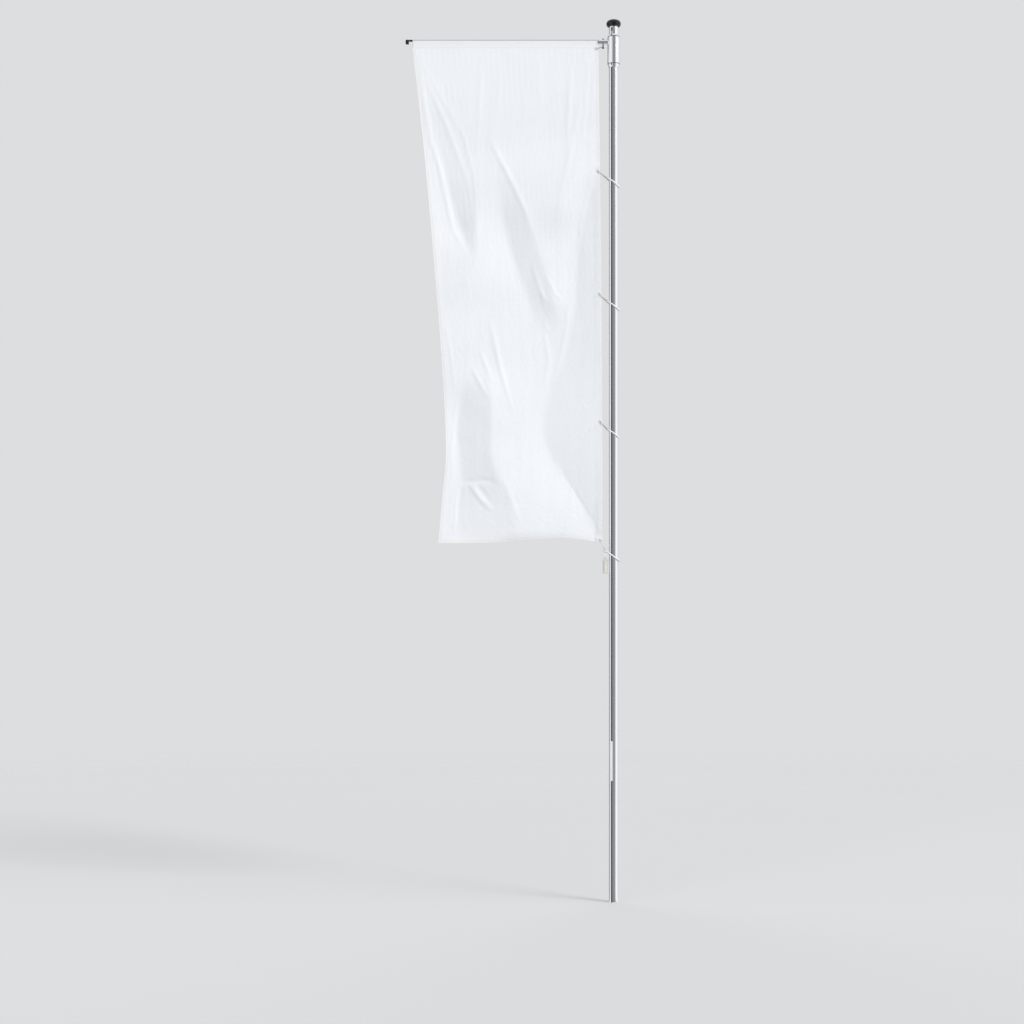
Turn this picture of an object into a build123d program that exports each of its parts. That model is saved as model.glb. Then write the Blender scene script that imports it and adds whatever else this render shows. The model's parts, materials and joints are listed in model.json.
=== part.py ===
from build123d import *
import os
from math import acos, asin, cos, degrees, pi, radians, sin, sqrt, tan

# Banner mast, from the ground up. Millimetres, +Z up, origin at the centre of the tube's foot.
# The banner arm points along -X. The halyard slot is turned about Z from the -Y side towards the arm.

# Mast tube: an extruded aluminium section with a slot and a round halyard chamber behind it
pole_height = 7000
pole_radius = 37.5
pole_wall = 2.8
slot_width = 12
slot_turn = 26
chamber_radius = 13
chamber_wall = 2.2

# Cap: a flattened ball on a split spigot
cap_radius = 58
cap_half_height = 34.5
cap_side_radius = 29
cap_seat_radius = 44
spigot_wall = 4
spigot_length = 26

# Pulley and its housing at the top of the slot
sheave_pitch_radius = 14
sheave_flange_radius = 17
sheave_width = 8
sheave_drop = 25
axle_radius = 3
housing_length = 64
housing_back = 7
housing_front_wall = 1.2
cheek_thickness = 3.5
window_length = 30
window_width = 12
lead_width = 5
rope_radius = 3
rope_offset = 24

# Lock plate with its lock, and the rope cleat behind it
lock_plate_low = 971
lock_plate_height = 317
lock_plate_width = 25
lock_plate_thickness = 1.6
lock_corner = 5
lock_barrel_rise = 81
lock_barrel_radius = 8.5
keyhole_width = 1.6
keyhole_length = 7
cleat_rise = 209
cleat_width = 9
cleat_web_height = 16

# Carriage: it slides up and down the mast and holds the turning head
neck_length = 63.2
lower_collar_height = 27
upper_collar_height = 16
collar_radius = 47
collar_lip = 2
washer_thickness = 3.6
washer_inset = 1
glide_clearance = 0.6
carriage_tube_radius = 42.5
carriage_tube_wall = 3
bearing_height = 30
slider_length = 150
slider_lead = 3
set_screw_radius = 6
set_screw_inset = 8
set_screw_socket = 3.5

# Turning head: sleeve, stub tube and the rod clamped in it
sleeve_radius = 50
sleeve_wall = 4
sleeve_height = 212
sleeve_chamfer = 1.5
arm_drop = 34.7
stub_radius = 18
stub_reach = 121
stub_wall = 2.5
boss_radius = 21
boss_length = 6
rod_radius = 6.5
rod_root = 62
arm_screw_place = 84
arm_screw_radius = 4.5
screw_head_radius = 8
screw_head_height = 6
screw_bite = 8
corner_screw_radius = 3
knob_drop = 42.5
knob_height = 12
knob_flutes = 10
knob_flute_radius = 1
link_gap = 9
flange_height = 3

# Arm's free end: a stop ring beside the banner and a deep end cap
stop_radius = 8.5
stop_length = 14
stop_round = 1
stop_gap = 5
tip_gap = 10
end_cap_width = 26
end_cap_depth = 38
end_cap_length = 26
end_cap_skin = 2
end_cap_round = 5
end_cap_socket = 20

# Banner: a hemmed cloth with a tunnel along its top
banner_width = 1487
banner_length = 4025
cloth_thickness = 1.6
corner_draw = 32
tunnel_height = 60
tunnel_skin = 1.5
seam_height = 8
free_edge = [(822, 92), (1623, 164), (2423, 228), (3223, 268), (3623, 236)]
free_corner = (205, 0)
lower_edge = [(989, 4), (669, 29), (389, 43), (189, 18)]
wave_length = 413
wave_depth = 52
wave_points = 8
wave_half_drop = 1340
wave_full_drop = 2640
flat_edge = 70
eyelet_radius = 12
eyelet_hole_radius = 6.5
eyelet_barrel_radius = 8
eyelet_flange = 1.6
eyelet_inset = 18
side_eyelet_drops = [979, 1964, 2985]

# Straps: a cord loop aslant round the mast, and a snap hook from it to each eyelet
strap_cord_radius = 5
strap_clearance = 3.4
strap_stretch = 4
strap_slope = 36
strap_drop = 95
wire_radius = 2
link_half_width = 7.5
link_sleeve_radius = 3.6
link_sleeve_length = 9
hook_eye_radius = 8
hook_body_radius = 6.5
hook_neck_radius = 4
hook_body_length = 42
hook_swell_length = 20
hook_taper_length = 9
hook_bow_bite = 4
hook_catch_radius = 2.4
hook_catch_reach = 8
junction_radius = 13
junction_place = 68
junction_drop = 82
junction_spread = 5.3
junction_rise = 2
knob_radius = 7.5
knob_shift = 2

# Weight on a short cord below the bottom corner
weight_radius = 19
weight_length = 130
weight_taper = 22
weight_neck_radius = 7
weight_round = 2
weight_drop = 38.5
weight_cord_radius = 2.5
weight_eye_radius = 4.6
weight_eye_wire = 1.6

# Clearances between pieces
bore_clearance = 0.1
part_clearance = 0.3
side_clearance = 0.5
axle_clearance = 0.05
past = 1

# Shared values
pole_bore = pole_radius - pole_wall
chamber_place = pole_bore - chamber_radius
sheave_y = sheave_pitch_radius - rope_offset
sheave_z = pole_height - sheave_drop
cheek_inside = sheave_width / 2 + side_clearance
cheek_outside = cheek_inside + cheek_thickness
lock_barrel_z = lock_plate_low + lock_barrel_rise
cleat_z = lock_plate_low + cleat_rise
upper_collar_low = pole_height - neck_length - upper_collar_height
sleeve_high = upper_collar_low - washer_thickness
sleeve_low = sleeve_high - sleeve_height
lower_collar_high = sleeve_low - washer_thickness
lower_collar_low = lower_collar_high - lower_collar_height
arm_z = sleeve_high - arm_drop
rod_z = arm_z + stub_radius - stub_wall - rod_radius - part_clearance
cloth_start = stub_reach + past
cloth_end = cloth_start + banner_width
stop_place = cloth_end + stop_gap
cap_start = stop_place + stop_length + tip_gap
tunnel_bore = rod_radius + part_clearance
tunnel_high = rod_z + tunnel_bore + tunnel_skin
tunnel_low = tunnel_high - tunnel_height
cloth_low = tunnel_high - banner_length
corner_eyelet_z = tunnel_low - eyelet_radius - past
bottom_eyelet_z = cloth_low + eyelet_inset
junction_z = bottom_eyelet_z - junction_drop
weight_pivot_z = junction_z - junction_radius
weight_top = weight_pivot_z - weight_drop
strap_reach = pole_radius + strap_clearance + strap_cord_radius
slope = radians(strap_slope)
bottom_strap_reach = junction_place - junction_spread
bottom_strap_stretch = (bottom_strap_reach - strap_reach) / cos(slope)
bottom_strap_z = junction_z - junction_rise - bottom_strap_reach * tan(slope)
eyelet_seat = eyelet_hole_radius - wire_radius - side_clearance


def turned(shape):
    """Turns a shape drawn with the slot on the -Y side to where the slot faces on the mast."""
    return Rot(0, 0, -slot_turn) * shape


def rod(radius, start, end):
    """A round bar from one point to another."""
    start = Vector(*start)
    along = Vector(*end) - start
    return extrude(Plane(start, z_dir=along) * Circle(radius), along.length)


def ring(outer, inner, low, height):
    """A plain ring round the mast's axis."""
    return extrude(Pos(0, 0, low) * (Circle(outer) - Circle(inner)), height)


def disc(radius, low, height):
    """A plain round block on the mast's axis."""
    return extrude(Pos(0, 0, low) * Circle(radius), height)


def block(low, high):
    """A box from its lowest corner to its highest."""
    size = [b - a for a, b in zip(low, high)]
    return Pos(*low) * Box(*size, align=(Align.MIN, Align.MIN, Align.MIN))


def loop(radius, half_width, first, last, across):
    """An endless round cord or wire that turns about two points, half_width out on each side."""
    first = Vector(*first)
    along = Vector(*last) - first
    plane = Plane(first, x_dir=along, z_dir=along.cross(Vector(*across)))
    path = plane * Wire([
        Line((0, -half_width), (along.length, -half_width)),
        CenterArc((along.length, 0), half_width, -90, 180),
        Line((along.length, half_width), (0, half_width)),
        CenterArc((0, 0), half_width, 90, 180),
    ])
    return sweep(Plane(path @ 0, z_dir=path % 0) * Circle(radius), path)


def hex_socket(radius, place, turn, depth):
    """The recess of a socket screw, sunk along the turned -Z from its place."""
    return Pos(*place) * Rot(*turn) * extrude(RegularPolygon(radius, 6), -depth)


def pole_tube():
    chamber = Pos(0, -chamber_place)
    section = Circle(pole_radius) - Circle(pole_bore)
    section += (chamber * Circle(chamber_radius + chamber_wall)) & Circle(pole_radius - pole_wall / 2)
    section -= chamber * Circle(chamber_radius)
    slot_depth = pole_radius - chamber_place
    section -= Pos(0, -chamber_place - slot_depth / 2) * Rectangle(slot_width, slot_depth)
    tube = extrude(section, pole_height)
    half = cheek_outside + part_clearance
    cleat_room = 2 * sheave_pitch_radius
    tube -= block((-half, -chamber_place, pole_height - housing_length - part_clearance),
                  (half, 0, pole_height))
    tube -= block((-half, -chamber_place, cleat_z - cleat_room), (half, 0, cleat_z + cleat_room))
    return turned(tube)


def cap_dome():
    """The flattened ball: a crown arc and a tighter side arc that run into each other, spun round."""
    side_place = cap_radius - cap_side_radius
    crown = (side_place ** 2 + cap_half_height ** 2 - cap_side_radius ** 2) / 2
    crown /= cap_half_height - cap_side_radius
    crown_turn = degrees(asin(side_place / (crown - cap_side_radius)))
    seat_turn = degrees(acos((cap_seat_radius - side_place) / cap_side_radius))
    seat_rise = sqrt(cap_side_radius ** 2 - (cap_seat_radius - side_place) ** 2)
    top = JernArc((0, cap_half_height), (1, 0), crown, -crown_turn)
    side = JernArc(top @ 1, top % 1, cap_side_radius, -(90 - crown_turn + seat_turn))
    base = Polyline(side @ 1, (0, (side @ 1).Y), top @ 0)
    return Pos(0, 0, pole_height + seat_rise) * revolve(Plane.XZ * make_face([top, side, base]), Axis.Z)


def pole_cap():
    spigot_radius = pole_bore - part_clearance
    spigot = ring(spigot_radius, spigot_radius - spigot_wall, pole_height - spigot_length, spigot_length)
    gap = chamber_radius + chamber_wall + part_clearance
    spigot -= block((-gap, -pole_radius, pole_height - spigot_length), (gap, 0, pole_height))
    return turned(cap_dome() + spigot)


def pulley_housing():
    low = pole_height - housing_length
    high = pole_height - part_clearance
    base = Pos(0, 0, low)
    tongue_half = slot_width / 2 - part_clearance
    body = extrude(base * (Pos(0, -chamber_place) * Circle(chamber_radius - part_clearance)), high - low)
    body += block((-cheek_outside, -chamber_place, low), (cheek_outside, housing_back, high))
    tongue = block((-tongue_half, -pole_radius, low), (tongue_half, -chamber_place, high))
    body += tongue & extrude(base * Circle(pole_radius - part_clearance), high - low)
    pocket_front = sheave_y - sheave_flange_radius - housing_front_wall
    body -= block((-cheek_inside, pocket_front, low), (cheek_inside, pole_radius, high))
    window_low = sheave_z - window_length / 2
    body -= block((-window_width / 2, -pole_radius, window_low),
                  (window_width / 2, 0, window_low + window_length))
    body -= block((-lead_width / 2, -pole_radius, low), (lead_width / 2, 0, window_low))
    body -= rod(axle_radius + bore_clearance, (-cheek_outside, sheave_y, sheave_z),
                (cheek_outside, sheave_y, sheave_z))
    return turned(body)


def pulley_axle():
    return turned(rod(axle_radius, (-cheek_outside, sheave_y, sheave_z), (cheek_outside, sheave_y, sheave_z)))


def pulley_sheave():
    inner = axle_radius + axle_clearance
    groove = rope_radius + part_clearance
    face = Pos((inner + sheave_flange_radius) / 2, 0) * Rectangle(sheave_flange_radius - inner, sheave_width)
    face -= Pos(sheave_pitch_radius, 0) * Circle(groove)
    face -= Pos(sheave_pitch_radius + groove, 0) * Rectangle(2 * groove, 2 * groove)
    return turned(Pos(0, sheave_y, sheave_z) * Rot(0, 0, 90) * revolve(face, Axis.Y))


def halyard():
    return turned(loop(rope_radius, sheave_pitch_radius, (0, sheave_y, cleat_z), (0, sheave_y, sheave_z),
                       (0, 1, 0)))


def rope_cleat():
    """The bollard that the rope's lower bend lies on, between two webs that reach into the slot."""
    half = cleat_width / 2
    bollard_radius = sheave_pitch_radius - rope_radius - part_clearance
    cleat = rod(bollard_radius, (-half, sheave_y, cleat_z), (half, sheave_y, cleat_z))
    front = -(pole_radius - 2 * side_clearance)
    inside = rope_radius + part_clearance
    outside = slot_width / 2 - part_clearance
    for near, far in [(-outside, -inside), (inside, outside)]:
        cleat += block((near, front, cleat_z - cleat_web_height / 2),
                       (far, sheave_y, cleat_z + cleat_web_height / 2))
    return turned(cleat)


def lock_plate():
    """A strip bent to the mast's round, with rounded corners and the lock's hole."""
    outside = pole_radius + lock_plate_thickness
    shell = ring(outside, pole_radius, lock_plate_low, lock_plate_height)
    width = 2 * outside * sin(lock_plate_width / pole_radius / 2)
    middle = lock_plate_low + lock_plate_height / 2
    front = Plane((0, 0, middle), x_dir=(1, 0, 0), z_dir=(0, -1, 0))
    plate = shell & extrude(front * RectangleRounded(width, lock_plate_height, lock_corner), 2 * pole_radius)
    plate -= rod(lock_barrel_radius, (0, 0, lock_barrel_z), (0, -2 * pole_radius, lock_barrel_z))
    return turned(plate)


def lock_barrel():
    front = -(pole_radius + lock_plate_thickness + part_clearance)
    face = (0, front, lock_barrel_z)
    barrel = rod(lock_barrel_radius - bore_clearance, (0, -pole_radius, lock_barrel_z), face)
    barrel += rod(slot_width / 2 - part_clearance, (0, -chamber_place, lock_barrel_z), face)
    barrel -= block((-keyhole_width / 2, front, lock_barrel_z - keyhole_length / 2),
                    (keyhole_width / 2, front + 2 * lock_plate_thickness, lock_barrel_z + keyhole_length / 2))
    return turned(barrel)


def collar(low, height, wide_low):
    """A tapered glide ring that holds one end of the carriage tube."""
    inner = pole_radius + glide_clearance
    narrow = inner + collar_lip
    high = low + height
    if wide_low:
        slant = [(collar_radius, low), (collar_radius, low + collar_lip), (narrow, high)]
    else:
        slant = [(narrow, low), (collar_radius, high - collar_lip), (collar_radius, high)]
    outline = Polyline((inner, low), *slant, (inner, high), close=True)
    return revolve(Plane.XZ * make_face(outline), Axis.Z)


def set_screw(height, radius, face):
    """A screw through a collar, on the slot's side, or with a little more radius the hole for it."""
    start = pole_radius + 2 * glide_clearance
    return turned(rod(radius, (0, -start, height), (0, -face, height)))


def collar_screws():
    face = collar_radius - collar_lip
    screws = []
    for height in set_screw_heights:
        screw = set_screw(height, set_screw_radius, face)
        head = (0, -face, height)
        screws.append(screw - turned(hex_socket(set_screw_socket, head, (90, 0, 0), set_screw_socket)))
    return Compound(screws)


def carriage_rings():
    """The round parts of the carriage: tube, collars, washers and bearings."""
    washer_bore = carriage_tube_radius + bore_clearance
    washer = sleeve_radius - washer_inset
    bearing = sleeve_radius - sleeve_wall - part_clearance
    lower = collar(lower_collar_low, lower_collar_height, False)
    upper = collar(upper_collar_low, upper_collar_height, True)
    lower_height, upper_height = set_screw_heights
    screw_hole_radius = set_screw_radius + bore_clearance
    return {
        "carriage_tube": ring(carriage_tube_radius, carriage_tube_radius - carriage_tube_wall,
                              lower_collar_high, upper_collar_low - lower_collar_high),
        "lower_collar": lower - set_screw(lower_height, screw_hole_radius, sleeve_radius),
        "upper_collar": upper - set_screw(upper_height, screw_hole_radius, sleeve_radius),
        "lower_washer": ring(washer, washer_bore, lower_collar_high, washer_thickness - part_clearance),
        "upper_washer": ring(washer, washer_bore, sleeve_high + part_clearance,
                             washer_thickness - part_clearance),
        "lower_bearing": ring(bearing, washer_bore, sleeve_low, bearing_height),
        "upper_bearing": ring(bearing, washer_bore, sleeve_high - bearing_height, bearing_height),
    }


def slot_slider():
    """The shoe that runs in the halyard chamber, with a neck through the slot to the carriage tube."""
    low = (sleeve_low + sleeve_high - slider_length) / 2
    high = low + slider_length
    shoe = extrude(Pos(0, -chamber_place, low) * Circle(chamber_radius - glide_clearance), slider_length)
    shoe = chamfer(shoe.edges().filter_by(GeomType.CIRCLE), slider_lead)
    neck_half = slot_width / 2 - glide_clearance
    neck = block((-neck_half, -carriage_tube_radius, low + slider_lead),
                 (neck_half, -chamber_place, high - slider_lead))
    neck &= disc(carriage_tube_radius - carriage_tube_wall, low, slider_length)
    bore = rope_radius + side_clearance
    return turned(shoe + neck - rod(bore, (0, -rope_offset, low), (0, -rope_offset, high)))


def head_sleeve():
    sleeve = ring(sleeve_radius, sleeve_radius - sleeve_wall, sleeve_low, sleeve_height)
    outside = sleeve.faces().filter_by(GeomType.CYLINDER).sort_by(SortBy.RADIUS)[-1]
    return chamfer(outside.edges().filter_by(GeomType.CIRCLE), sleeve_chamfer)


def screw_hole(low, high):
    """The room for a clamping screw's shank through the stub tube or the rod."""
    return rod(arm_screw_radius + bore_clearance, (-arm_screw_place, 0, low), (-arm_screw_place, 0, high))


def arm_stub():
    boss_end = sleeve_radius + boss_length
    stub = rod(stub_radius, (0, 0, arm_z), (-stub_reach, 0, arm_z))
    stub += rod(boss_radius, (0, 0, arm_z), (-boss_end, 0, arm_z))
    stub -= rod(stub_radius - stub_wall, (-boss_end, 0, arm_z), (-stub_reach, 0, arm_z))
    stub -= disc(sleeve_radius, arm_z - 2 * boss_radius, 4 * boss_radius)
    return stub - screw_hole(arm_z - 2 * stub_radius, arm_z + 2 * stub_radius)


def arm_rod():
    bar = rod(rod_radius, (-rod_root, 0, rod_z), (-cap_start - end_cap_socket, 0, rod_z))
    return bar - screw_hole(rod_z + rod_radius - screw_bite - past, rod_z + rod_radius)


def arm_stop():
    near = (-stop_place, 0, rod_z)
    far = (-stop_place - stop_length, 0, rod_z)
    stop = rod(stop_radius, near, far)
    stop = fillet(stop.edges().filter_by(GeomType.CIRCLE), stop_round)
    return stop - rod(rod_radius + bore_clearance, near, far)


def arm_end_cap():
    """A deep moulding with the rod's socket near its top."""
    high = rod_z + rod_radius + end_cap_skin
    middle = high - end_cap_depth / 2
    plane = Plane((-cap_start, 0, middle), x_dir=(0, 0, 1), z_dir=(-1, 0, 0))
    cap = extrude(plane * SlotOverall(end_cap_depth, end_cap_width), end_cap_length)
    cap = fillet(cap.faces().sort_by(Axis.X)[0].edges(), end_cap_round)
    socket = rod_radius + bore_clearance
    return cap - rod(socket, (-cap_start, 0, rod_z), (-cap_start - end_cap_socket - bore_clearance, 0, rod_z))


def arm_screw():
    """The screw on top of the stub, down into the rod."""
    seat = arm_z + stub_radius + bore_clearance
    top = seat + screw_head_height
    head = rod(screw_head_radius, (-arm_screw_place, 0, seat), (-arm_screw_place, 0, top))
    head = fillet(head.faces().sort_by(Axis.Z)[-1].edges(), collar_lip)
    head -= hex_socket(arm_screw_radius, (-arm_screw_place, 0, top), (0, 0, 0), screw_head_height / 2)
    return head + rod(arm_screw_radius, (-arm_screw_place, 0, rod_z + rod_radius - screw_bite),
                      (-arm_screw_place, 0, seat))


def corner_screw():
    """The clamping screw under the stub. The link to the banner's corner hangs above its fluted knob."""
    knob_top = arm_z - knob_drop
    stub_low = arm_z - stub_radius
    screw = rod(arm_screw_radius, (-arm_screw_place, 0, rod_z - rod_radius - bore_clearance),
                (-arm_screw_place, 0, stub_low))
    screw += rod(corner_screw_radius, (-arm_screw_place, 0, stub_low), (-arm_screw_place, 0, knob_top))
    flange_low = knob_top + link_gap
    screw += rod(screw_head_radius, (-arm_screw_place, 0, flange_low),
                 (-arm_screw_place, 0, flange_low + flange_height))
    knob = rod(screw_head_radius, (-arm_screw_place, 0, knob_top),
               (-arm_screw_place, 0, knob_top - knob_height))
    knob = fillet(knob.edges().filter_by(GeomType.CIRCLE), collar_lip)
    flute = extrude(Pos(screw_head_radius, 0) * Circle(knob_flute_radius), -knob_height)
    for turn in range(knob_flutes):
        knob -= Pos(-arm_screw_place, 0, knob_top) * Rot(0, 0, 360 / knob_flutes * turn) * flute
    return screw + knob


def mast_edge(z):
    """How far from the mast's axis the banner's side edge lies at one height: a parabola."""
    share = (tunnel_low - z) / (tunnel_low - cloth_low)
    return cloth_start - corner_draw * share * (2 - share)


def cloth_section(depth, z):
    """The cloth's line at one height: straight beside the mast, then waves that grow to their depth."""
    start = cloth_start - corner_draw - past
    flat_end = cloth_start + flat_edge
    steps = round((cloth_end - flat_end) / wave_length * wave_points) + 1
    places = [flat_end + wave_length * i / wave_points for i in range(steps + 1)]
    waves = [depth * sin(2 * pi * i / wave_points) * min(1, 2 * i / wave_points)
             for i in range(steps + 1)]
    waved = Spline([(-x, y, z) for x, y in zip(places, waves)])
    return Wire([Line((-start, 0, z), (-flat_end, 0, z)), waved])


def cloth_outline():
    """The banner from the front: both side edges drawn in, the lower edge slightly bowed."""
    inset, rise = free_corner
    top_far = (-cloth_end, tunnel_low)
    top_near = (-cloth_start, tunnel_low)
    corner = (inset - cloth_end, cloth_low + rise)
    bottom = (-mast_edge(cloth_low), cloth_low)
    free_places = [(x - cloth_end, tunnel_low - drop) for drop, x in free_edge]
    lower_places = [(-x, cloth_low + up) for x, up in lower_edge]
    free_side = Spline([top_far] + free_places + [corner])
    lower_side = Spline([corner] + lower_places + [bottom])
    mast_side = Bezier(bottom, (bottom[0], (tunnel_low + cloth_low) / 2), top_near)
    return make_face([free_side, lower_side, mast_side, Line(top_near, top_far)])


def banner_cloth():
    """The waved sheet, given its thickness and cut to the banner's outline, with its eyelet holes."""
    levels = [(0, tunnel_low + seam_height), (0.5, tunnel_low - wave_half_drop),
              (1, tunnel_low - wave_full_drop), (1, cloth_low - seam_height)]
    sheet = Shell.make_loft([cloth_section(wave_depth * share, z) for share, z in levels])
    cloth = Part()
    for face in sheet.faces():
        cloth += Solid.extrude(face, Vector(0, cloth_thickness, 0))
    behind = Plane((0, 2 * wave_depth, 0), x_dir=(1, 0, 0), z_dir=(0, -1, 0))
    cloth = Pos(0, -cloth_thickness / 2, 0) * cloth & extrude(behind * cloth_outline(), 4 * wave_depth)
    for x, z in eyelet_places():
        cloth -= rod(eyelet_barrel_radius + part_clearance, (x, -eyelet_radius, z), (x, eyelet_radius, z))
    return cloth


def banner_tunnel():
    """The sewn tunnel along the banner's top: a drop-shaped tube round the rod, solid at its seam."""
    band = rod_z - tunnel_low
    tip = Pos(0, tunnel_skin - band) * Circle(tunnel_skin)
    hollow_tip = Pos(0, seam_height - band) * Circle(part_clearance)
    outer = Circle(tunnel_bore + tunnel_skin).edges() + tip.edges()
    inner = Circle(tunnel_bore).edges() + hollow_tip.edges()
    plane = Plane((-cloth_start, 0, rod_z), x_dir=(0, -1, 0), z_dir=(-1, 0, 0))
    return extrude(plane * (make_hull(outer) - make_hull(inner)), banner_width)


def eyelet_places():
    heights = [corner_eyelet_z] + [corner_eyelet_z - drop for drop in side_eyelet_drops] + [bottom_eyelet_z]
    return [(-mast_edge(z) - eyelet_inset, z) for z in heights]


def eyelet(x, z):
    """A pressed grommet: a barrel through the cloth with a rolled flange on each face."""
    half = cloth_thickness / 2 + part_clearance
    inner = eyelet_hole_radius
    middle = (inner + eyelet_radius) / 2
    outline = [
        Line((inner, -half), (inner, half)),
        ThreePointArc((inner, half), (middle, half + eyelet_flange), (eyelet_radius, half)),
        Polyline((eyelet_radius, half), (eyelet_barrel_radius, half), (eyelet_barrel_radius, -half),
                 (eyelet_radius, -half)),
        ThreePointArc((eyelet_radius, -half), (middle, -half - eyelet_flange), (inner, -half)),
    ]
    return Pos(x, 0, z) * Rot(90, 0, 0) * revolve(Plane.XZ * make_face(outline), Axis.Z)


def wire_link(start, end):
    """A closed oval link between two points in the plane of the arm and the mast."""
    start = Vector(start[0], 0, start[1])
    end = Vector(end[0], 0, end[1])
    along = (end - start).normalized()
    return loop(wire_radius, link_half_width, tuple(start + along * link_half_width),
                tuple(end - along * link_half_width), (0, 1, 0))


def quick_link(start, end):
    """An oval link with the threaded sleeve that closes it, on its front side."""
    middle = Vector((start[0] + end[0]) / 2, -link_half_width, (start[1] + end[1]) / 2)
    along = Vector(end[0] - start[0], 0, end[1] - start[1]).normalized() * (link_sleeve_length / 2)
    return wire_link(start, end) + rod(link_sleeve_radius, tuple(middle - along), tuple(middle + along))


def corner_link():
    x, z = eyelet_places()[0]
    wrap = corner_screw_radius + wire_radius + part_clearance
    return quick_link((x + eyelet_seat, z), (wrap - arm_screw_place, arm_z - knob_drop + link_gap / 2))


def bottom_link():
    x, z = eyelet_places()[-1]
    top = Vector(x, z)
    along = (Vector(-junction_place, junction_z) - top).normalized()
    low = Vector(-junction_place, junction_z) - along * (junction_radius - 2 * wire_radius - part_clearance)
    top += along * eyelet_seat
    return quick_link((top.X, top.Y), (low.X, low.Y))


def strap_end(height, side, stretch=strap_stretch):
    """The far left (-1) or far right (1) point of a strap loop."""
    reach = strap_reach / cos(slope) + (stretch if side < 0 else 0)
    return Vector(side * reach * cos(slope), 0, height - side * reach * sin(slope))


def strap_loop(height, stretch=strap_stretch):
    """A cord loop that lies aslant round the mast, high on the banner's side."""
    left = strap_end(height, -1, stretch)
    right = strap_end(height, 1, stretch)
    along = (right - left).normalized()
    return loop(strap_cord_radius, strap_reach, tuple(left + along * strap_reach),
                tuple(right - along * strap_reach), (0, 1, 0))


def strap_room(end):
    """The room for a strap's cord where it turns through an eye or a knob."""
    return rod(strap_cord_radius + part_clearance, (end.X, -strap_reach, end.Z), (end.X, strap_reach, end.Z))


def strap_clip(place, height):
    """A snap hook: a wire bow through the eyelet, a body with its catch, an eye round the strap."""
    eye = strap_end(height, -1)
    hole = Vector(place[0], 0, place[1])
    along = (eye - hole).normalized()
    body_low = eye - along * hook_eye_radius
    body_high = body_low - along * hook_body_length
    bow_start = hole + along * eyelet_seat
    bow_end = body_high + along * hook_bow_bite
    clip = wire_link((bow_start.X, bow_start.Z), (bow_end.X, bow_end.Z))
    outline = Polyline((0, 0), (hook_neck_radius, 0), (hook_body_radius, hook_swell_length),
                       (hook_body_radius, hook_body_length - hook_taper_length),
                       (hook_neck_radius, hook_body_length), (0, hook_body_length), close=True)
    clip += Plane(body_high, z_dir=along) * revolve(Plane.XZ * make_face(outline), Axis.Z)
    catch = body_high + along * hook_swell_length
    clip += rod(hook_catch_radius, tuple(catch), tuple(catch + Vector(0, -hook_catch_reach, 0)))
    clip += Pos(*eye) * Rot(90, 0, 0) * Torus(hook_eye_radius, wire_radius)
    return clip - strap_room(eye)


def junction_ring():
    """The round ring below the bottom corner that the strap and the weight hang from."""
    return Pos(-junction_place, 0, junction_z) * Rot(90, 0, 0) * Torus(junction_radius, wire_radius)


def strap_knob():
    """The stopper bead on the far side of the lowest strap."""
    end = strap_end(bottom_strap_z, 1)
    knob = Pos(end.X + knob_shift, 0, end.Z) * Sphere(knob_radius) - strap_room(end)
    return knob - disc(pole_radius + strap_clearance, end.Z - 2 * knob_radius, 4 * knob_radius)


def weight_body():
    low = weight_top - weight_length
    outline = Polyline((0, low), (weight_radius - weight_round, low), (weight_radius, low + weight_round),
                       (weight_radius, weight_top - weight_taper), (weight_neck_radius, weight_top),
                       (0, weight_top), close=True)
    return Pos(-junction_place, 0, 0) * revolve(Plane.XZ * make_face(outline), Axis.Z)


def weight_cord():
    """The short cord above the weight, with the eye that hangs on the junction ring."""
    middle = weight_pivot_z - (weight_eye_radius - weight_eye_wire - wire_radius - part_clearance)
    cord = rod(weight_cord_radius, (-junction_place, 0, weight_top),
               (-junction_place, 0, middle - weight_eye_radius))
    return cord + Pos(-junction_place, 0, middle) * Rot(0, 90, 0) * Torus(weight_eye_radius, weight_eye_wire)


set_screw_heights = (lower_collar_high - set_screw_inset, upper_collar_low + set_screw_inset)

nodes = {
    "pole_tube": pole_tube(),
    "pole_cap": pole_cap(),
    "pulley_housing": pulley_housing(),
    "pulley_axle": pulley_axle(),
    "pulley_sheave": pulley_sheave(),
    "halyard": halyard(),
    "rope_cleat": rope_cleat(),
    "lock_plate": lock_plate(),
    "lock_barrel": lock_barrel(),
    "slot_slider": slot_slider(),
    "collar_screws": collar_screws(),
    "head_sleeve": head_sleeve(),
    "arm_stub": arm_stub(),
    "arm_rod": arm_rod(),
    "arm_end_cap": arm_end_cap(),
    "arm_stop": arm_stop(),
    "arm_screw": arm_screw(),
    "corner_screw": corner_screw(),
    "corner_link": corner_link(),
    "banner_cloth": banner_cloth(),
    "banner_tunnel": banner_tunnel(),
    "bottom_link": bottom_link(),
    "bottom_strap_ring": strap_loop(bottom_strap_z, bottom_strap_stretch),
    "strap_knob": strap_knob(),
    "junction_ring": junction_ring(),
    "weight_body": weight_body(),
    "weight_cord": weight_cord(),
}
nodes.update(carriage_rings())
for number, place in enumerate(eyelet_places(), 1):
    nodes[f"eyelet_{number}"] = eyelet(*place)
for number, place in enumerate(eyelet_places()[1:-1], 1):
    nodes[f"strap_ring_{number}"] = strap_loop(place[1] - strap_drop)
    nodes[f"strap_clip_{number}"] = strap_clip(place, place[1] - strap_drop)

os.makedirs("parts", exist_ok=True)
for name, shape in nodes.items():
    export_step(shape, f"parts/{name}.step")
    print(name, len(shape.solids()), round(shape.volume / 1000, 2), "cm3")
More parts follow.
